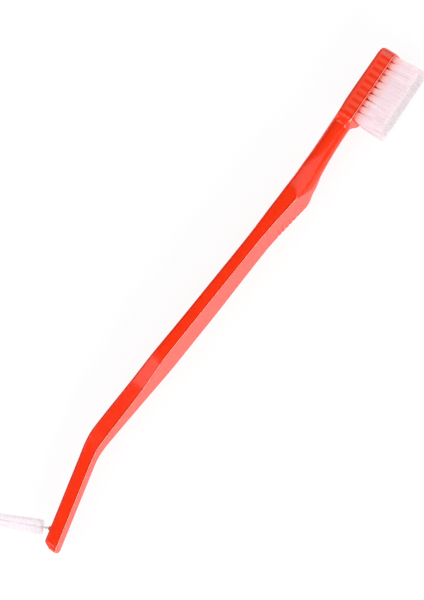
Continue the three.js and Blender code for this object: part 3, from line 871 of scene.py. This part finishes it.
def moulded_clear_plastic():
    """Clear red styrene-acrylic, injection moulded in a polished tool: light spreads in its
    depth, so it glows evenly. Lighter bars are painted where the white tufts would show through
    the walls of their holes, with an even painted glow behind them. Along the corners a painted
    shade stands in for light turned back inside, and a painted highlight for light coming out.
    The skin is glossy, with the faint waves that a moulding keeps as it shrinks."""
    finishes = bpy.context.scene.brush_finishes
    material, nodes = new_material("moulded_clear_plastic")
    place = add_node(nodes, "ShaderNodeTexCoord").outputs["Object"]
    waves = {"Vector": place, "Scale": 1 / PLASTIC_WAVE, "Detail": 1.0}
    skin = {
        "Strength": WAVE_STRENGTH,
        "Distance": PLASTIC_WAVE_DEPTH,
        "Height": add_node(nodes, "ShaderNodeTexNoise", waves).outputs["Fac"],
    }
    # Painted shade and painted highlight along the corners, read from the point attribute.
    corner = add_node(nodes, "ShaderNodeAttribute", {"attribute_name": PAINTED_CORNER_LIGHT_ATTRIBUTE})
    painted_corner_shade = corner.outputs["Fac"]
    painted_corner_highlight = add_node(nodes, "ShaderNodeMath", {"operation": "MULTIPLY", 0: painted_corner_shade, 1: -1.0})
    colour = rgba(finishes.plastic)
    # Painted light mixed into the colour: the tufts' see-through bars, the corners' shade and their
    # highlight.
    for share, tint in (
        (painted_tuft_glow(nodes, place), finishes.lit_plastic),
        (painted_corner_shade, finishes.corner_shade_plastic),
        (painted_corner_highlight.outputs["Value"], finishes.corner_highlight_plastic),
    ):
        mixed = {"data_type": "RGBA", 0: share, 6: colour, 7: rgba(tint)}
        colour = add_node(nodes, "ShaderNodeMix", mixed).outputs[2]
    gloss = uneven(nodes, place, HANDLING_MARK, *PLASTIC_GLOSS, detail=4.0, roughness=0.6)
    plastic = {
        "Base Color": colour,
        "Roughness": gloss,
        "IOR": 1.5,
        "Subsurface Weight": 1.0,
        "Subsurface Radius": LIGHT_SPREAD,
        "Subsurface Scale": MM,
        "Normal": add_node(nodes, "ShaderNodeBump", skin).outputs["Normal"],
    }
    surface = add_node(nodes, "ShaderNodeBsdfPrincipled", plastic)
    add_node(nodes, "ShaderNodeOutputMaterial", {"Surface": surface.outputs["BSDF"]})
    return material


def tuft_nylon():
    """The tufts' nylon, with a painted red light from the head on the roots of the bristles
    and painted lighter cut ends.
    """
    finishes = bpy.context.scene.brush_finishes
    material, nodes = new_material("tuft_nylon")
    place = add_node(nodes, "ShaderNodeTexCoord").outputs["Object"]
    face = HEAD.front * MM
    length = {
        "Value": along_head(nodes, place)["X"],
        "From Min": face,
        "From Max": face + bpy.context.scene.brush_tufts.bristle_length,
    }
    height = add_node(nodes, "ShaderNodeMapRange", length).outputs["Result"]
    colour = add_node(nodes, "ShaderNodeValToRGB", {"Fac": height})
    first, last = colour.color_ramp.elements
    first.color, last.color = rgba(finishes.nylon_root_red_light), rgba(finishes.nylon_lit_tip)
    # Painted red light low on the bristles, then plain nylon, then the painted lighter cut ends.
    for share, shade in (
        (BRISTLE_LOW_RED_LIGHT, finishes.nylon_low_red_light),
        (BRISTLE_CLEAR, finishes.nylon),
        (BRISTLE_CUT, finishes.nylon),
    ):
        colour.color_ramp.elements.new(share).color = rgba(shade)
    drawn_nylon(nodes, place, colour.outputs["Color"])
    return material


def filament_nylon():
    """The interdental brush's nylon, finer and whiter."""
    material, nodes = new_material("filament_nylon")
    place = add_node(nodes, "ShaderNodeTexCoord").outputs["Object"]
    drawn_nylon(nodes, place, bpy.context.scene.brush_finishes.filament)
    return material


def drawn_nylon(nodes, place, colour):
    """Nylon drawn into strands: pale, with a soft shine along each. Most light goes on through
    a strand, and light for shadows almost freely, so a tuft shades only a little inside."""
    milk = uneven(nodes, place, STRAND_VARIATION, *NYLON_MILK, detail=2.0)
    scaled = {"operation": "SCALE", 0: colour, "Scale": milk}
    varied = add_node(nodes, "ShaderNodeVectorMath", scaled).outputs["Vector"]
    nylon = {"Base Color": varied, "Roughness": 0.35, "IOR": 1.53}
    skin = add_node(nodes, "ShaderNodeBsdfPrincipled", nylon).outputs["BSDF"]
    through = add_node(nodes, "ShaderNodeBsdfTranslucent", {"Color": varied}).outputs["BSDF"]
    milky = add_node(nodes, "ShaderNodeMixShader", {0: THROUGH_SHARE, 1: skin, 2: through})
    shadows = {
        "Value": add_node(nodes, "ShaderNodeLightPath").outputs["Is Shadow Ray"],
        "To Min": SEEN_CLEARNESS,
        "To Max": LIT_CLEARNESS,
    }
    clearness = add_node(nodes, "ShaderNodeMapRange", shadows).outputs["Result"]
    clear = add_node(nodes, "ShaderNodeBsdfTransparent").outputs["BSDF"]
    both = {0: clearness, 1: milky.outputs["Shader"], 2: clear}
    strand = add_node(nodes, "ShaderNodeMixShader", both)
    add_node(nodes, "ShaderNodeOutputMaterial", {"Surface": strand.outputs["Shader"]})


def punched_strip():
    """Flat strip metal punched into anchors: dull silver with fine rolling lines."""
    anchor = bpy.context.scene.brush_finishes.anchor
    return brushed_metal("punched_strip", anchor, roughness=0.35)


def drawn_steel_wire():
    """Stainless steel wire drawn through a die: bright, with fine lines along it."""
    wire = bpy.context.scene.brush_finishes.wire
    return brushed_metal("drawn_steel_wire", wire, roughness=0.25)


def brushed_metal(name, colour, roughness):
    """A metal whose fine lines catch the light unevenly."""
    material, nodes = new_material(name)
    place = add_node(nodes, "ShaderNodeTexCoord").outputs["Object"]
    low, high = roughness - METAL_UNEVENNESS, roughness + METAL_UNEVENNESS
    metal = {
        "Base Color": rgba(colour),
        "Metallic": 1.0,
        "Roughness": uneven(nodes, place, DRAWN_LINE, low, high, detail=3.0),
    }
    surface = add_node(nodes, "ShaderNodeBsdfPrincipled", metal)
    add_node(nodes, "ShaderNodeOutputMaterial", {"Surface": surface.outputs["BSDF"]})
    return material


def studio_floor():
    """Seamless white paper: what looks at it or through to it sees white, and the brush's soft
    shadow stays on it."""
    material, nodes = new_material("studio_floor")
    floor = rgba(bpy.context.scene.brush_stage.floor)
    paper = add_node(nodes, "ShaderNodeBsdfDiffuse", {"Color": floor})
    shade = add_node(nodes, "ShaderNodeBsdfDiffuse", {"Color": rgba([FLOOR_SHADE] * 3)})
    glow = add_node(nodes, "ShaderNodeEmission", {"Strength": FLOOR_GLOW})
    seen = add_node(nodes, "ShaderNodeAddShader", {0: shade.outputs[0], 1: glow.outputs[0]})
    path = add_node(nodes, "ShaderNodeLightPath").outputs
    looked_at = path["Is Camera Ray"]
    for ray in (path["Is Glossy Ray"], path["Is Transmission Ray"]):
        either = {"operation": "MAXIMUM", 0: looked_at, 1: ray}
        looked_at = add_node(nodes, "ShaderNodeMath", either).outputs[0]
    both = {0: looked_at, 1: paper.outputs[0], 2: seen.outputs[0]}
    mixed = add_node(nodes, "ShaderNodeMixShader", both)
    add_node(nodes, "ShaderNodeOutputMaterial", {"Surface": mixed.outputs[0]})
    return material


def finish_with(piece, material):
    """The piece gets its material and its place on the body."""
    piece.data.materials.clear()
    piece.data.materials.append(material)
    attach(piece, BODY)


# ---------------------------------------------------------------- the pieces


def nub(sizes):
    """The small moulded nub round the wire's root, sunk into the tail."""
    deselect_all()
    depth = TAIL.back * MM / 2
    bpy.ops.mesh.primitive_cone_add(
        vertices=NUB_SIDES,
        radius1=sizes.nub_base_radius,
        radius2=sizes.nub_top_radius,
        depth=sizes.nub_height + depth,
    )
    piece = bpy.context.active_object
    turn = Matrix.Rotation(-math.pi / 2, 4, "X")
    piece.data.transform(Matrix.Translation((0.0, (sizes.nub_height - depth) / 2, 0.0)) @ turn)
    ease_corners(piece, NUB_EASING)
    return piece


def wire_hole(sizes):
    """The hole in the tail and its nub that the wire is set in."""
    radius = sizes.leg_gap / 2 + 2 * sizes.wire_radius + HOLE_CLEARANCE
    piece = cylinder(radius, sizes.embedded + sizes.nub_height + CUT_OVERSHOOT, WIRE_HOLE_SIDES)
    piece.data.transform(Matrix.Rotation(math.pi / 2, 4, "Z"))
    piece.data.transform(Matrix.Translation((0.0, -sizes.embedded, 0.0)))
    return piece


def tuft_holes(sizes):
    """The blind holes of the tufts, in the head's own frame."""
    pattern = cylinder(sizes.hole_radius, sizes.hole_depth + CUT_OVERSHOOT, HOLE_SIDES)
    floor = HEAD.front * MM - sizes.hole_depth
    places = [Matrix.Translation(place + Vector((floor, 0.0, 0.0))) for place in tuft_places()]
    return copies_joined("tuft_holes", pattern, places)


def anchor_slots():
    """The narrow slots that the anchors have cut into the walls of their holes, in place."""
    low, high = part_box("anchor_01")
    face = HEAD.front * MM
    frame_of_head = head_frame()
    middle = frame_of_head.inverted() @ ((low + high) / 2)
    deselect_all()
    bpy.ops.mesh.primitive_cube_add(size=1.0)
    pattern = bpy.context.active_object
    rise = face - middle.x + ANCHOR_HEIGHT / 2 + CUT_OVERSHOOT
    width = 2 * (bpy.context.scene.brush_tufts.hole_radius + ANCHOR_BITE) + 2 * SLOT_CLEARANCE
    scale = Matrix.Diagonal((rise, width, ANCHOR_THICKNESS + 2 * SLOT_CLEARANCE, 1.0))
    start = Matrix.Translation((middle.x - ANCHOR_HEIGHT / 2 - SLOT_CLEARANCE + rise / 2, 0.0, 0.0))
    pattern.data.transform(start @ Matrix.Rotation(ANCHOR_TURN, 4, "X") @ scale)
    slots = copies_joined("anchor_slots", pattern, [Matrix.Translation(p) for p in tuft_places()])
    slots.data.transform(frame_of_head)
    return slots


def grip_grooves(form, sizes):
    """The slanted grooves, from the middle of the front face out over its -Z edge."""
    reach = BODY_HALF_WIDTH * MM + CUT_OVERSHOOT
    pattern = cylinder(sizes.radius, (reach - sizes.start) / math.cos(sizes.slant), GROOVE_SIDES)
    ease_corners(pattern, sizes.radius * GROOVE_END_SHARE)
    slope = math.tan(sizes.slant)
    middle_z = -(sizes.start + BODY_HALF_WIDTH * MM) / 2
    start_y = (-sizes.start - middle_z) * slope
    direction = Vector((0.0, (-reach + sizes.start) * slope, -reach + sizes.start))
    turn = Vector((1.0, 0.0, 0.0)).rotation_difference(direction).to_matrix().to_4x4()
    places = []
    for i in range(sizes.count):
        distance = form.crest_at - sizes.first - i * sizes.pitch
        middle_x = form.section_at(distance).front * MM + sizes.radius - sizes.depth
        start = Matrix.Translation((middle_x, start_y, -sizes.start))
        places.append(form.frame_at(distance) @ start @ turn)
    return copies_joined("grip_grooves", pattern, places)


def strand_mesh(name, paths, radius, sides):
    """Many closed strands as one mesh. A path is a row of points, and its width stays even."""
    points, faces = [], []
    for path in paths:
        first = len(points)
        along = (path[-1] - path[0]).normalized()
        side = along.orthogonal().normalized()
        other = along.cross(side)
        for place in path:
            for k in range(sides):
                turn = 2 * math.pi * k / sides
                points.append(place + radius * (math.cos(turn) * side + math.sin(turn) * other))
        faces += faces_round(first, len(path), sides)
    return mesh_object(name, points, faces)


def folded_bundle(sizes):
    """Half of a tuft inside its hole, on one side of the anchor, in the tuft's own frame. Its
    outer bristles show as flutes, and the fold rounds its lower end."""
    face = HEAD.front * MM
    floor = face - sizes.hole_depth + FOLD_CLEARANCE
    radius = sizes.hole_radius - FOLD_CLEARANCE
    flat = ANCHOR_THICKNESS / 2 + SLOT_CLEARANCE
    start = math.asin(flat / radius)
    rings = []
    for height, share in BUNDLE_RINGS:
        ring = []
        for i in range(BUNDLE_STEPS + 1):
            turn = start + (math.pi - 2 * start) * i / BUNDLE_STEPS
            out = radius * share * (1 - BUNDLE_FLUTE * (i % 2))
            across = out * math.cos(turn)
            up = max(out * math.sin(turn), flat)
            ring.append(Vector((floor + (face - FOLD_CLEARANCE - floor) * height, across, up)))
        rings.append(ring)
    return skin_over("folded_bundle", rings)


def bristle_paths(sizes, rng, fan):
    """The bristles of one tuft, in the tuft's own frame: up out of the round hole and apart,
    fast at first, until they meet the next tufts, so the tips make a square. Those on the
    heel's side fan out further by the given length."""
    face = HEAD.front * MM
    root = face - BRISTLE_OVERLAP
    tip = face + sizes.bristle_length
    golden = math.pi * (3 - math.sqrt(5))
    packed = sizes.hole_radius - sizes.bristle_radius - FOLD_CLEARANCE
    paths = []
    for i in range(sizes.bristles):
        out = math.sqrt((i + 0.5) / sizes.bristles)
        turn = i * golden + rng.uniform(-BRISTLE_TURN, BRISTLE_TURN)
        y, z = out * math.cos(turn), out * math.sin(turn)
        stretch = sizes.spread * out / max(abs(y), abs(z)) / 2
        tip_y, tip_z = y * stretch * sizes.row_pitch, z * stretch * sizes.column_pitch
        y, z = y * packed, z * packed
        heel_side = (packed - y) / (2 * packed)
        sway_y = rng.gauss(0.0, BRISTLE_SWAY)
        sway_z = rng.gauss(0.0, BRISTLE_SWAY)
        path = []
        for step in range(BRISTLE_STEPS + 1):
            x = root + (tip - root) * step / BRISTLE_STEPS
            up = max((x - face) / sizes.bristle_length, 0.0)
            opened = up**TUFT_OPENING
            lean = math.tan(sizes.lean) * sizes.bristle_length * up - fan * heel_side * opened
            open_y = y + (tip_y - y) * opened + lean + sway_y * up**2
            open_z = z + (tip_z - z) * opened + sway_z * up**2
            path.append(Vector((x, open_y, open_z)))
        paths.append(path)
    return paths


def leg_point(sizes, y, side):
    """A point on the middle of one of the wire's two legs, at a height along the twist."""
    turn = 2 * math.pi * y / sizes.twist_pitch + side * math.pi / 2
    out = sizes.wire_radius + sizes.leg_gap / 2
    return Vector((out * math.cos(turn), y, out * math.sin(turn)))


def wire_path(sizes):
    """One wire: up the first leg, over the fold at the tip, and down the second leg."""
    foot, top = -sizes.embedded + HOLE_CLEARANCE, sizes.bare + sizes.zone
    steps = round((top - foot) / sizes.twist_pitch * WIRE_STEPS)
    heights = [foot + (top - foot) * i / steps for i in range(steps + 1)]
    up = [leg_point(sizes, y, 1) for y in heights]
    down = [leg_point(sizes, y, -1) for y in reversed(heights)]
    start, rise = up[-1], sizes.wire_radius + sizes.leg_gap / 2
    fold = []
    for i in range(1, FOLD_STEPS):
        turn = math.pi * i / FOLD_STEPS
        out = math.cos(turn)
        fold.append(Vector((start.x * out, top + rise * math.sin(turn), start.z * out)))
    return up + fold + down


def filament_paths(sizes, rng):
    """The filaments: each passes between the two legs and stands out on both sides."""
    paths = []
    for i in range(sizes.filaments):
        share = (i + 0.5) / sizes.filaments
        y = sizes.bare + sizes.zone * share
        reach = sizes.reach_base + (sizes.reach_tip - sizes.reach_base) * share
        turn = 2 * math.pi * y / sizes.twist_pitch + rng.uniform(-FILAMENT_FAN, FILAMENT_FAN)
        out = Vector((math.cos(turn), 0.0, math.sin(turn)))
        across = Vector((-out.z, 0.0, out.x))
        bend = Vector((0.0, rng.gauss(0.0, FILAMENT_BEND), 0.0))
        offset = across * rng.uniform(-FILAMENT_OFFSET, FILAMENT_OFFSET) * sizes.leg_gap
        side_reach = reach * rng.uniform(FILAMENT_SHORTEST, 1.0)
        path = []
        for step in range(FILAMENT_STEPS + 1):
            t = 2 * step / FILAMENT_STEPS - 1
            path.append(out * side_reach * t + Vector((0.0, y, 0.0)) + offset + bend * t * t)
        paths.append(path)
    return paths


class BRUSH_OT_handle(bpy.types.Operator):
    """Mould the handle with its nub, tuft holes, anchor slots and grip grooves"""

    bl_idname = "brush.handle"
    bl_label = "Handle"

    def execute(self, context):
        scene = context.scene
        form, shift = handle_frames()
        stations = form.stations(scene.brush_handle.ring_spacing)
        handle = skin_over("clear_handle", [form.ring(s) for s in stations])
        # The painted corner shade and highlight of every point.
        edge = handle.data.attributes.new(PAINTED_CORNER_LIGHT_ATTRIBUTE, "FLOAT", "POINT")
        edge.data.foreach_set(
            "value", [depth for s in stations for depth in painted_corner_shading(form.section_at(s))]
        )
        face_outwards(handle)
        grooves = grip_grooves(form, scene.brush_grip)
        face_outwards(grooves)
        combine(handle, grooves, "DIFFERENCE")
        handle.data.transform(shift)
        for cutter, place, operation in (
            (nub(scene.brush_wire), wire_frame(), "UNION"),
            (wire_hole(scene.brush_wire), wire_frame(), "DIFFERENCE"),
            (tuft_holes(scene.brush_tufts), head_frame(), "DIFFERENCE"),
            (anchor_slots(), Matrix.Identity(4), "DIFFERENCE"),
        ):
            cutter.data.transform(place)
            face_outwards(cutter)
            combine(handle, cutter, operation)
        shade_smooth(handle, SMOOTH_ANGLE)
        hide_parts("handle")
        finish_with(handle, moulded_clear_plastic())
        return {"FINISHED"}


class BRUSH_OT_tufts(bpy.types.Operator):
    """Set the nylon tufts in the holes of the head"""

    bl_idname = "brush.tufts"
    bl_label = "Tufts"

    def execute(self, context):
        sizes = context.scene.brush_tufts
        nylon = tuft_nylon()
        place_of_head = head_frame()
        rng = random.Random(TUFT_SEED)
        half = folded_bundle(sizes)
        turns = [Matrix.Rotation(ANCHOR_TURN + turn, 4, "X") for turn in (0.0, math.pi)]
        bundle = copies_joined("folded_bundle", half, turns)
        face_outwards(bundle)
        for i, place in enumerate(tuft_places()):
            row = i // sizes.columns
            fan = sizes.heel_fan if row == sizes.rows - 1 else 0.0
            paths = bristle_paths(sizes, rng, fan)
            tuft = strand_mesh(f"tuft_{i + 1:02d}", paths, sizes.bristle_radius, BRISTLE_SIDES)
            shade_smooth_strands(tuft)
            joined([tuft, add_object("folded_bundle", bundle.data.copy())])
            tuft.data.transform(place_of_head @ Matrix.Translation(place))
            field = next(name for name, rows in FIELDS if row in rows)
            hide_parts(field)
            finish_with(tuft, nylon)
        bpy.data.objects.remove(bundle)
        return {"FINISHED"}


class BRUSH_OT_anchors(bpy.types.Operator):
    """Give the flat metal anchors their finish"""

    bl_idname = "brush.anchors"
    bl_label = "Anchors"

    def execute(self, context):
        strip = punched_strip()
        for name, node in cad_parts.items():
            if name.startswith("anchor_"):
                node.data.materials.clear()
                node.data.materials.append(strip)
        return {"FINISHED"}


class BRUSH_OT_wire(bpy.types.Operator):
    """Twist the folded steel wire that stands in the tail"""

    bl_idname = "brush.wire"
    bl_label = "Twisted wire"

    def execute(self, context):
        sizes = context.scene.brush_wire
        path = wire_path(sizes)
        curve = bpy.data.curves.new("twisted_wire", "CURVE")
        curve.dimensions = "3D"
        curve.bevel_depth = sizes.wire_radius
        curve.bevel_resolution = WIRE_ROUNDNESS
        curve.use_fill_caps = True
        spline = curve.splines.new("POLY")
        spline.points.add(len(path) - 1)
        for point, place in zip(spline.points, path):
            point.co = (*place, 1.0)
        only(add_object("twisted_wire", curve))
        bpy.ops.object.convert(target="MESH")
        wire = context.active_object
        edit_all(wire, bpy.ops.mesh.remove_doubles, threshold=SAME_POINT)
        face_outwards(wire)
        wire.data.transform(wire_frame())
        only(wire)
        bpy.ops.object.shade_smooth_by_angle(angle=SMOOTH_ANGLE)
        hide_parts("interdental_wire")
        finish_with(wire, drawn_steel_wire())
        return {"FINISHED"}


class BRUSH_OT_filaments(bpy.types.Operator):
    """Set the fine filaments between the legs of the twisted wire"""

    bl_idname = "brush.filaments"
    bl_label = "Filaments"

    def execute(self, context):
        sizes = context.scene.brush_wire
        paths = filament_paths(sizes, random.Random(FILAMENT_SEED))
        filaments = strand_mesh("filament_brush", paths, sizes.filament_radius, FILAMENT_SIDES)
        filaments.data.transform(wire_frame())
        shade_smooth_strands(filaments)
        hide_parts("interdental_filaments")
        finish_with(filaments, filament_nylon())
        return {"FINISHED"}


class BRUSH_OT_stage(bpy.types.Operator):
    """Set up the floor, the lights and the camera"""

    bl_idname = "brush.stage"
    bl_label = "Stage"

    def execute(self, context):
        settings = context.scene.brush_stage
        deselect_all()
        bpy.ops.mesh.primitive_circle_add(
            vertices=FLOOR_SIDES,
            radius=FLOOR_RADIUS,
            fill_type="NGON",
            location=(0.0, 0.0, -FLOOR_DROP),
        )
        floor = context.active_object
        floor.name = "floor"
        floor.data.materials.append(studio_floor())
        light_the_stage(settings)
        place_camera(settings)
        context.scene.view_settings.view_transform = "Standard"
        return {"FINISHED"}


def softbox(name, place, target, width, height, radiance):
    """A soft rectangular light of an even radiance, aimed at a point."""
    lamp = bpy.data.lights.new(name, "AREA")
    lamp.shape = "RECTANGLE"
    lamp.size = width
    lamp.size_y = height
    lamp.energy = radiance * math.pi * width * height
    box = add_object(name, lamp)
    aim = (Vector(target) - Vector(place)).to_track_quat("-Z", "Y")
    box.matrix_world = Matrix.Translation(place) @ aim.to_matrix().to_4x4()
    box.visible_camera = False


def light_the_stage(settings):
    """A dim even world, a large box over the head's end, another over the tail's end, and a
    brighter one low on the side that the bristles point to."""
    world = bpy.data.worlds.new("studio")
    world.use_nodes = True
    nodes = world.node_tree.nodes
    nodes.clear()
    even = add_node(nodes, "ShaderNodeBackground", {"Strength": settings.world})
    add_node(nodes, "ShaderNodeOutputWorld", {"Surface": even.outputs[0]})
    bpy.context.scene.world = world
    for name, place, target, size, radiance in SOFTBOXES:
        softbox(name, place, target, *size, radiance)


def place_camera(settings):
    """A long lens above the brush, turned towards the side that the bristles point to."""
    low, high = (Vector(corner) for corner in CAD_BOX)
    target = (low + high) / 2 + Vector(CAMERA_AIM) * MM
    turn = settings.camera_turn
    back = Vector((math.sin(turn), 0.0, math.cos(turn)))
    across = Vector((math.cos(turn), 0.0, -math.sin(turn)))
    along = Vector((0.0, 1.0, 0.0))
    roll = settings.camera_roll
    right = across * math.cos(roll) + along * math.sin(roll)
    up = along * math.cos(roll) - across * math.sin(roll)
    data = bpy.data.cameras.new("camera")
    data.lens = data.sensor_width * settings.camera_distance / settings.view_height
    data.clip_end = FARTHEST_SEEN
    camera = add_object("camera", data)
    turned = Matrix((right, up, back)).transposed().to_4x4()
    camera.matrix_world = Matrix.Translation(target + back * settings.camera_distance) @ turned
    bpy.context.scene.camera = camera


class BRUSH_PT_panel(bpy.types.Panel):
    """The pieces of the toothbrush in the 3D view's sidebar"""

    bl_idname = "BRUSH_PT_panel"
    bl_label = "Pet toothbrush"
    bl_space_type = "VIEW_3D"
    bl_region_type = "UI"
    bl_category = "Toothbrush"

    def draw(self, context):
        for title, name, groups in PANEL_ROWS:
            box = self.layout.box()
            box.operator(name, text=title)
            for group in groups:
                settings = getattr(context.scene, group)
                for key in settings.__annotations__:
                    box.prop(settings, key)


# ---------------------------------------------------------------- main

GROUPS = {
    "brush_handle": HandleSizes,
    "brush_grip": GripSizes,
    "brush_tufts": TuftSizes,
    "brush_wire": WireBrushSizes,
    "brush_finishes": Finishes,
    "brush_stage": StageSettings,
}
OPERATORS = (
    BRUSH_OT_handle,
    BRUSH_OT_tufts,
    BRUSH_OT_anchors,
    BRUSH_OT_wire,
    BRUSH_OT_filaments,
    BRUSH_OT_stage,
)
PANEL_ROWS = (
    ("Handle", "brush.handle", ("brush_handle", "brush_grip")),
    ("Tufts", "brush.tufts", ("brush_tufts",)),
    ("Anchors", "brush.anchors", ()),
    ("Twisted wire", "brush.wire", ("brush_wire",)),
    ("Filaments", "brush.filaments", ("brush_finishes",)),
    ("Stage", "brush.stage", ("brush_stage",)),
)


def register():
    """Registers the sizes, the operators and the panel."""
    for name, group in GROUPS.items():
        bpy.utils.register_class(group)
        setattr(bpy.types.Scene, name, bpy.props.PointerProperty(type=group))
    for operator in OPERATORS:
        bpy.utils.register_class(operator)
    bpy.utils.register_class(BRUSH_PT_panel)


def unregister():
    """Removes all that register added."""
    bpy.utils.unregister_class(BRUSH_PT_panel)
    for operator in reversed(OPERATORS):
        bpy.utils.unregister_class(operator)
    for name, group in reversed(GROUPS.items()):
        delattr(bpy.types.Scene, name)
        bpy.utils.unregister_class(group)


def main():
    register()
    bpy.ops.brush.handle()
    bpy.ops.brush.tufts()
    bpy.ops.brush.anchors()
    bpy.ops.brush.wire()
    bpy.ops.brush.filaments()
    bpy.ops.brush.stage()


if __name__ == "__main__":
    main()
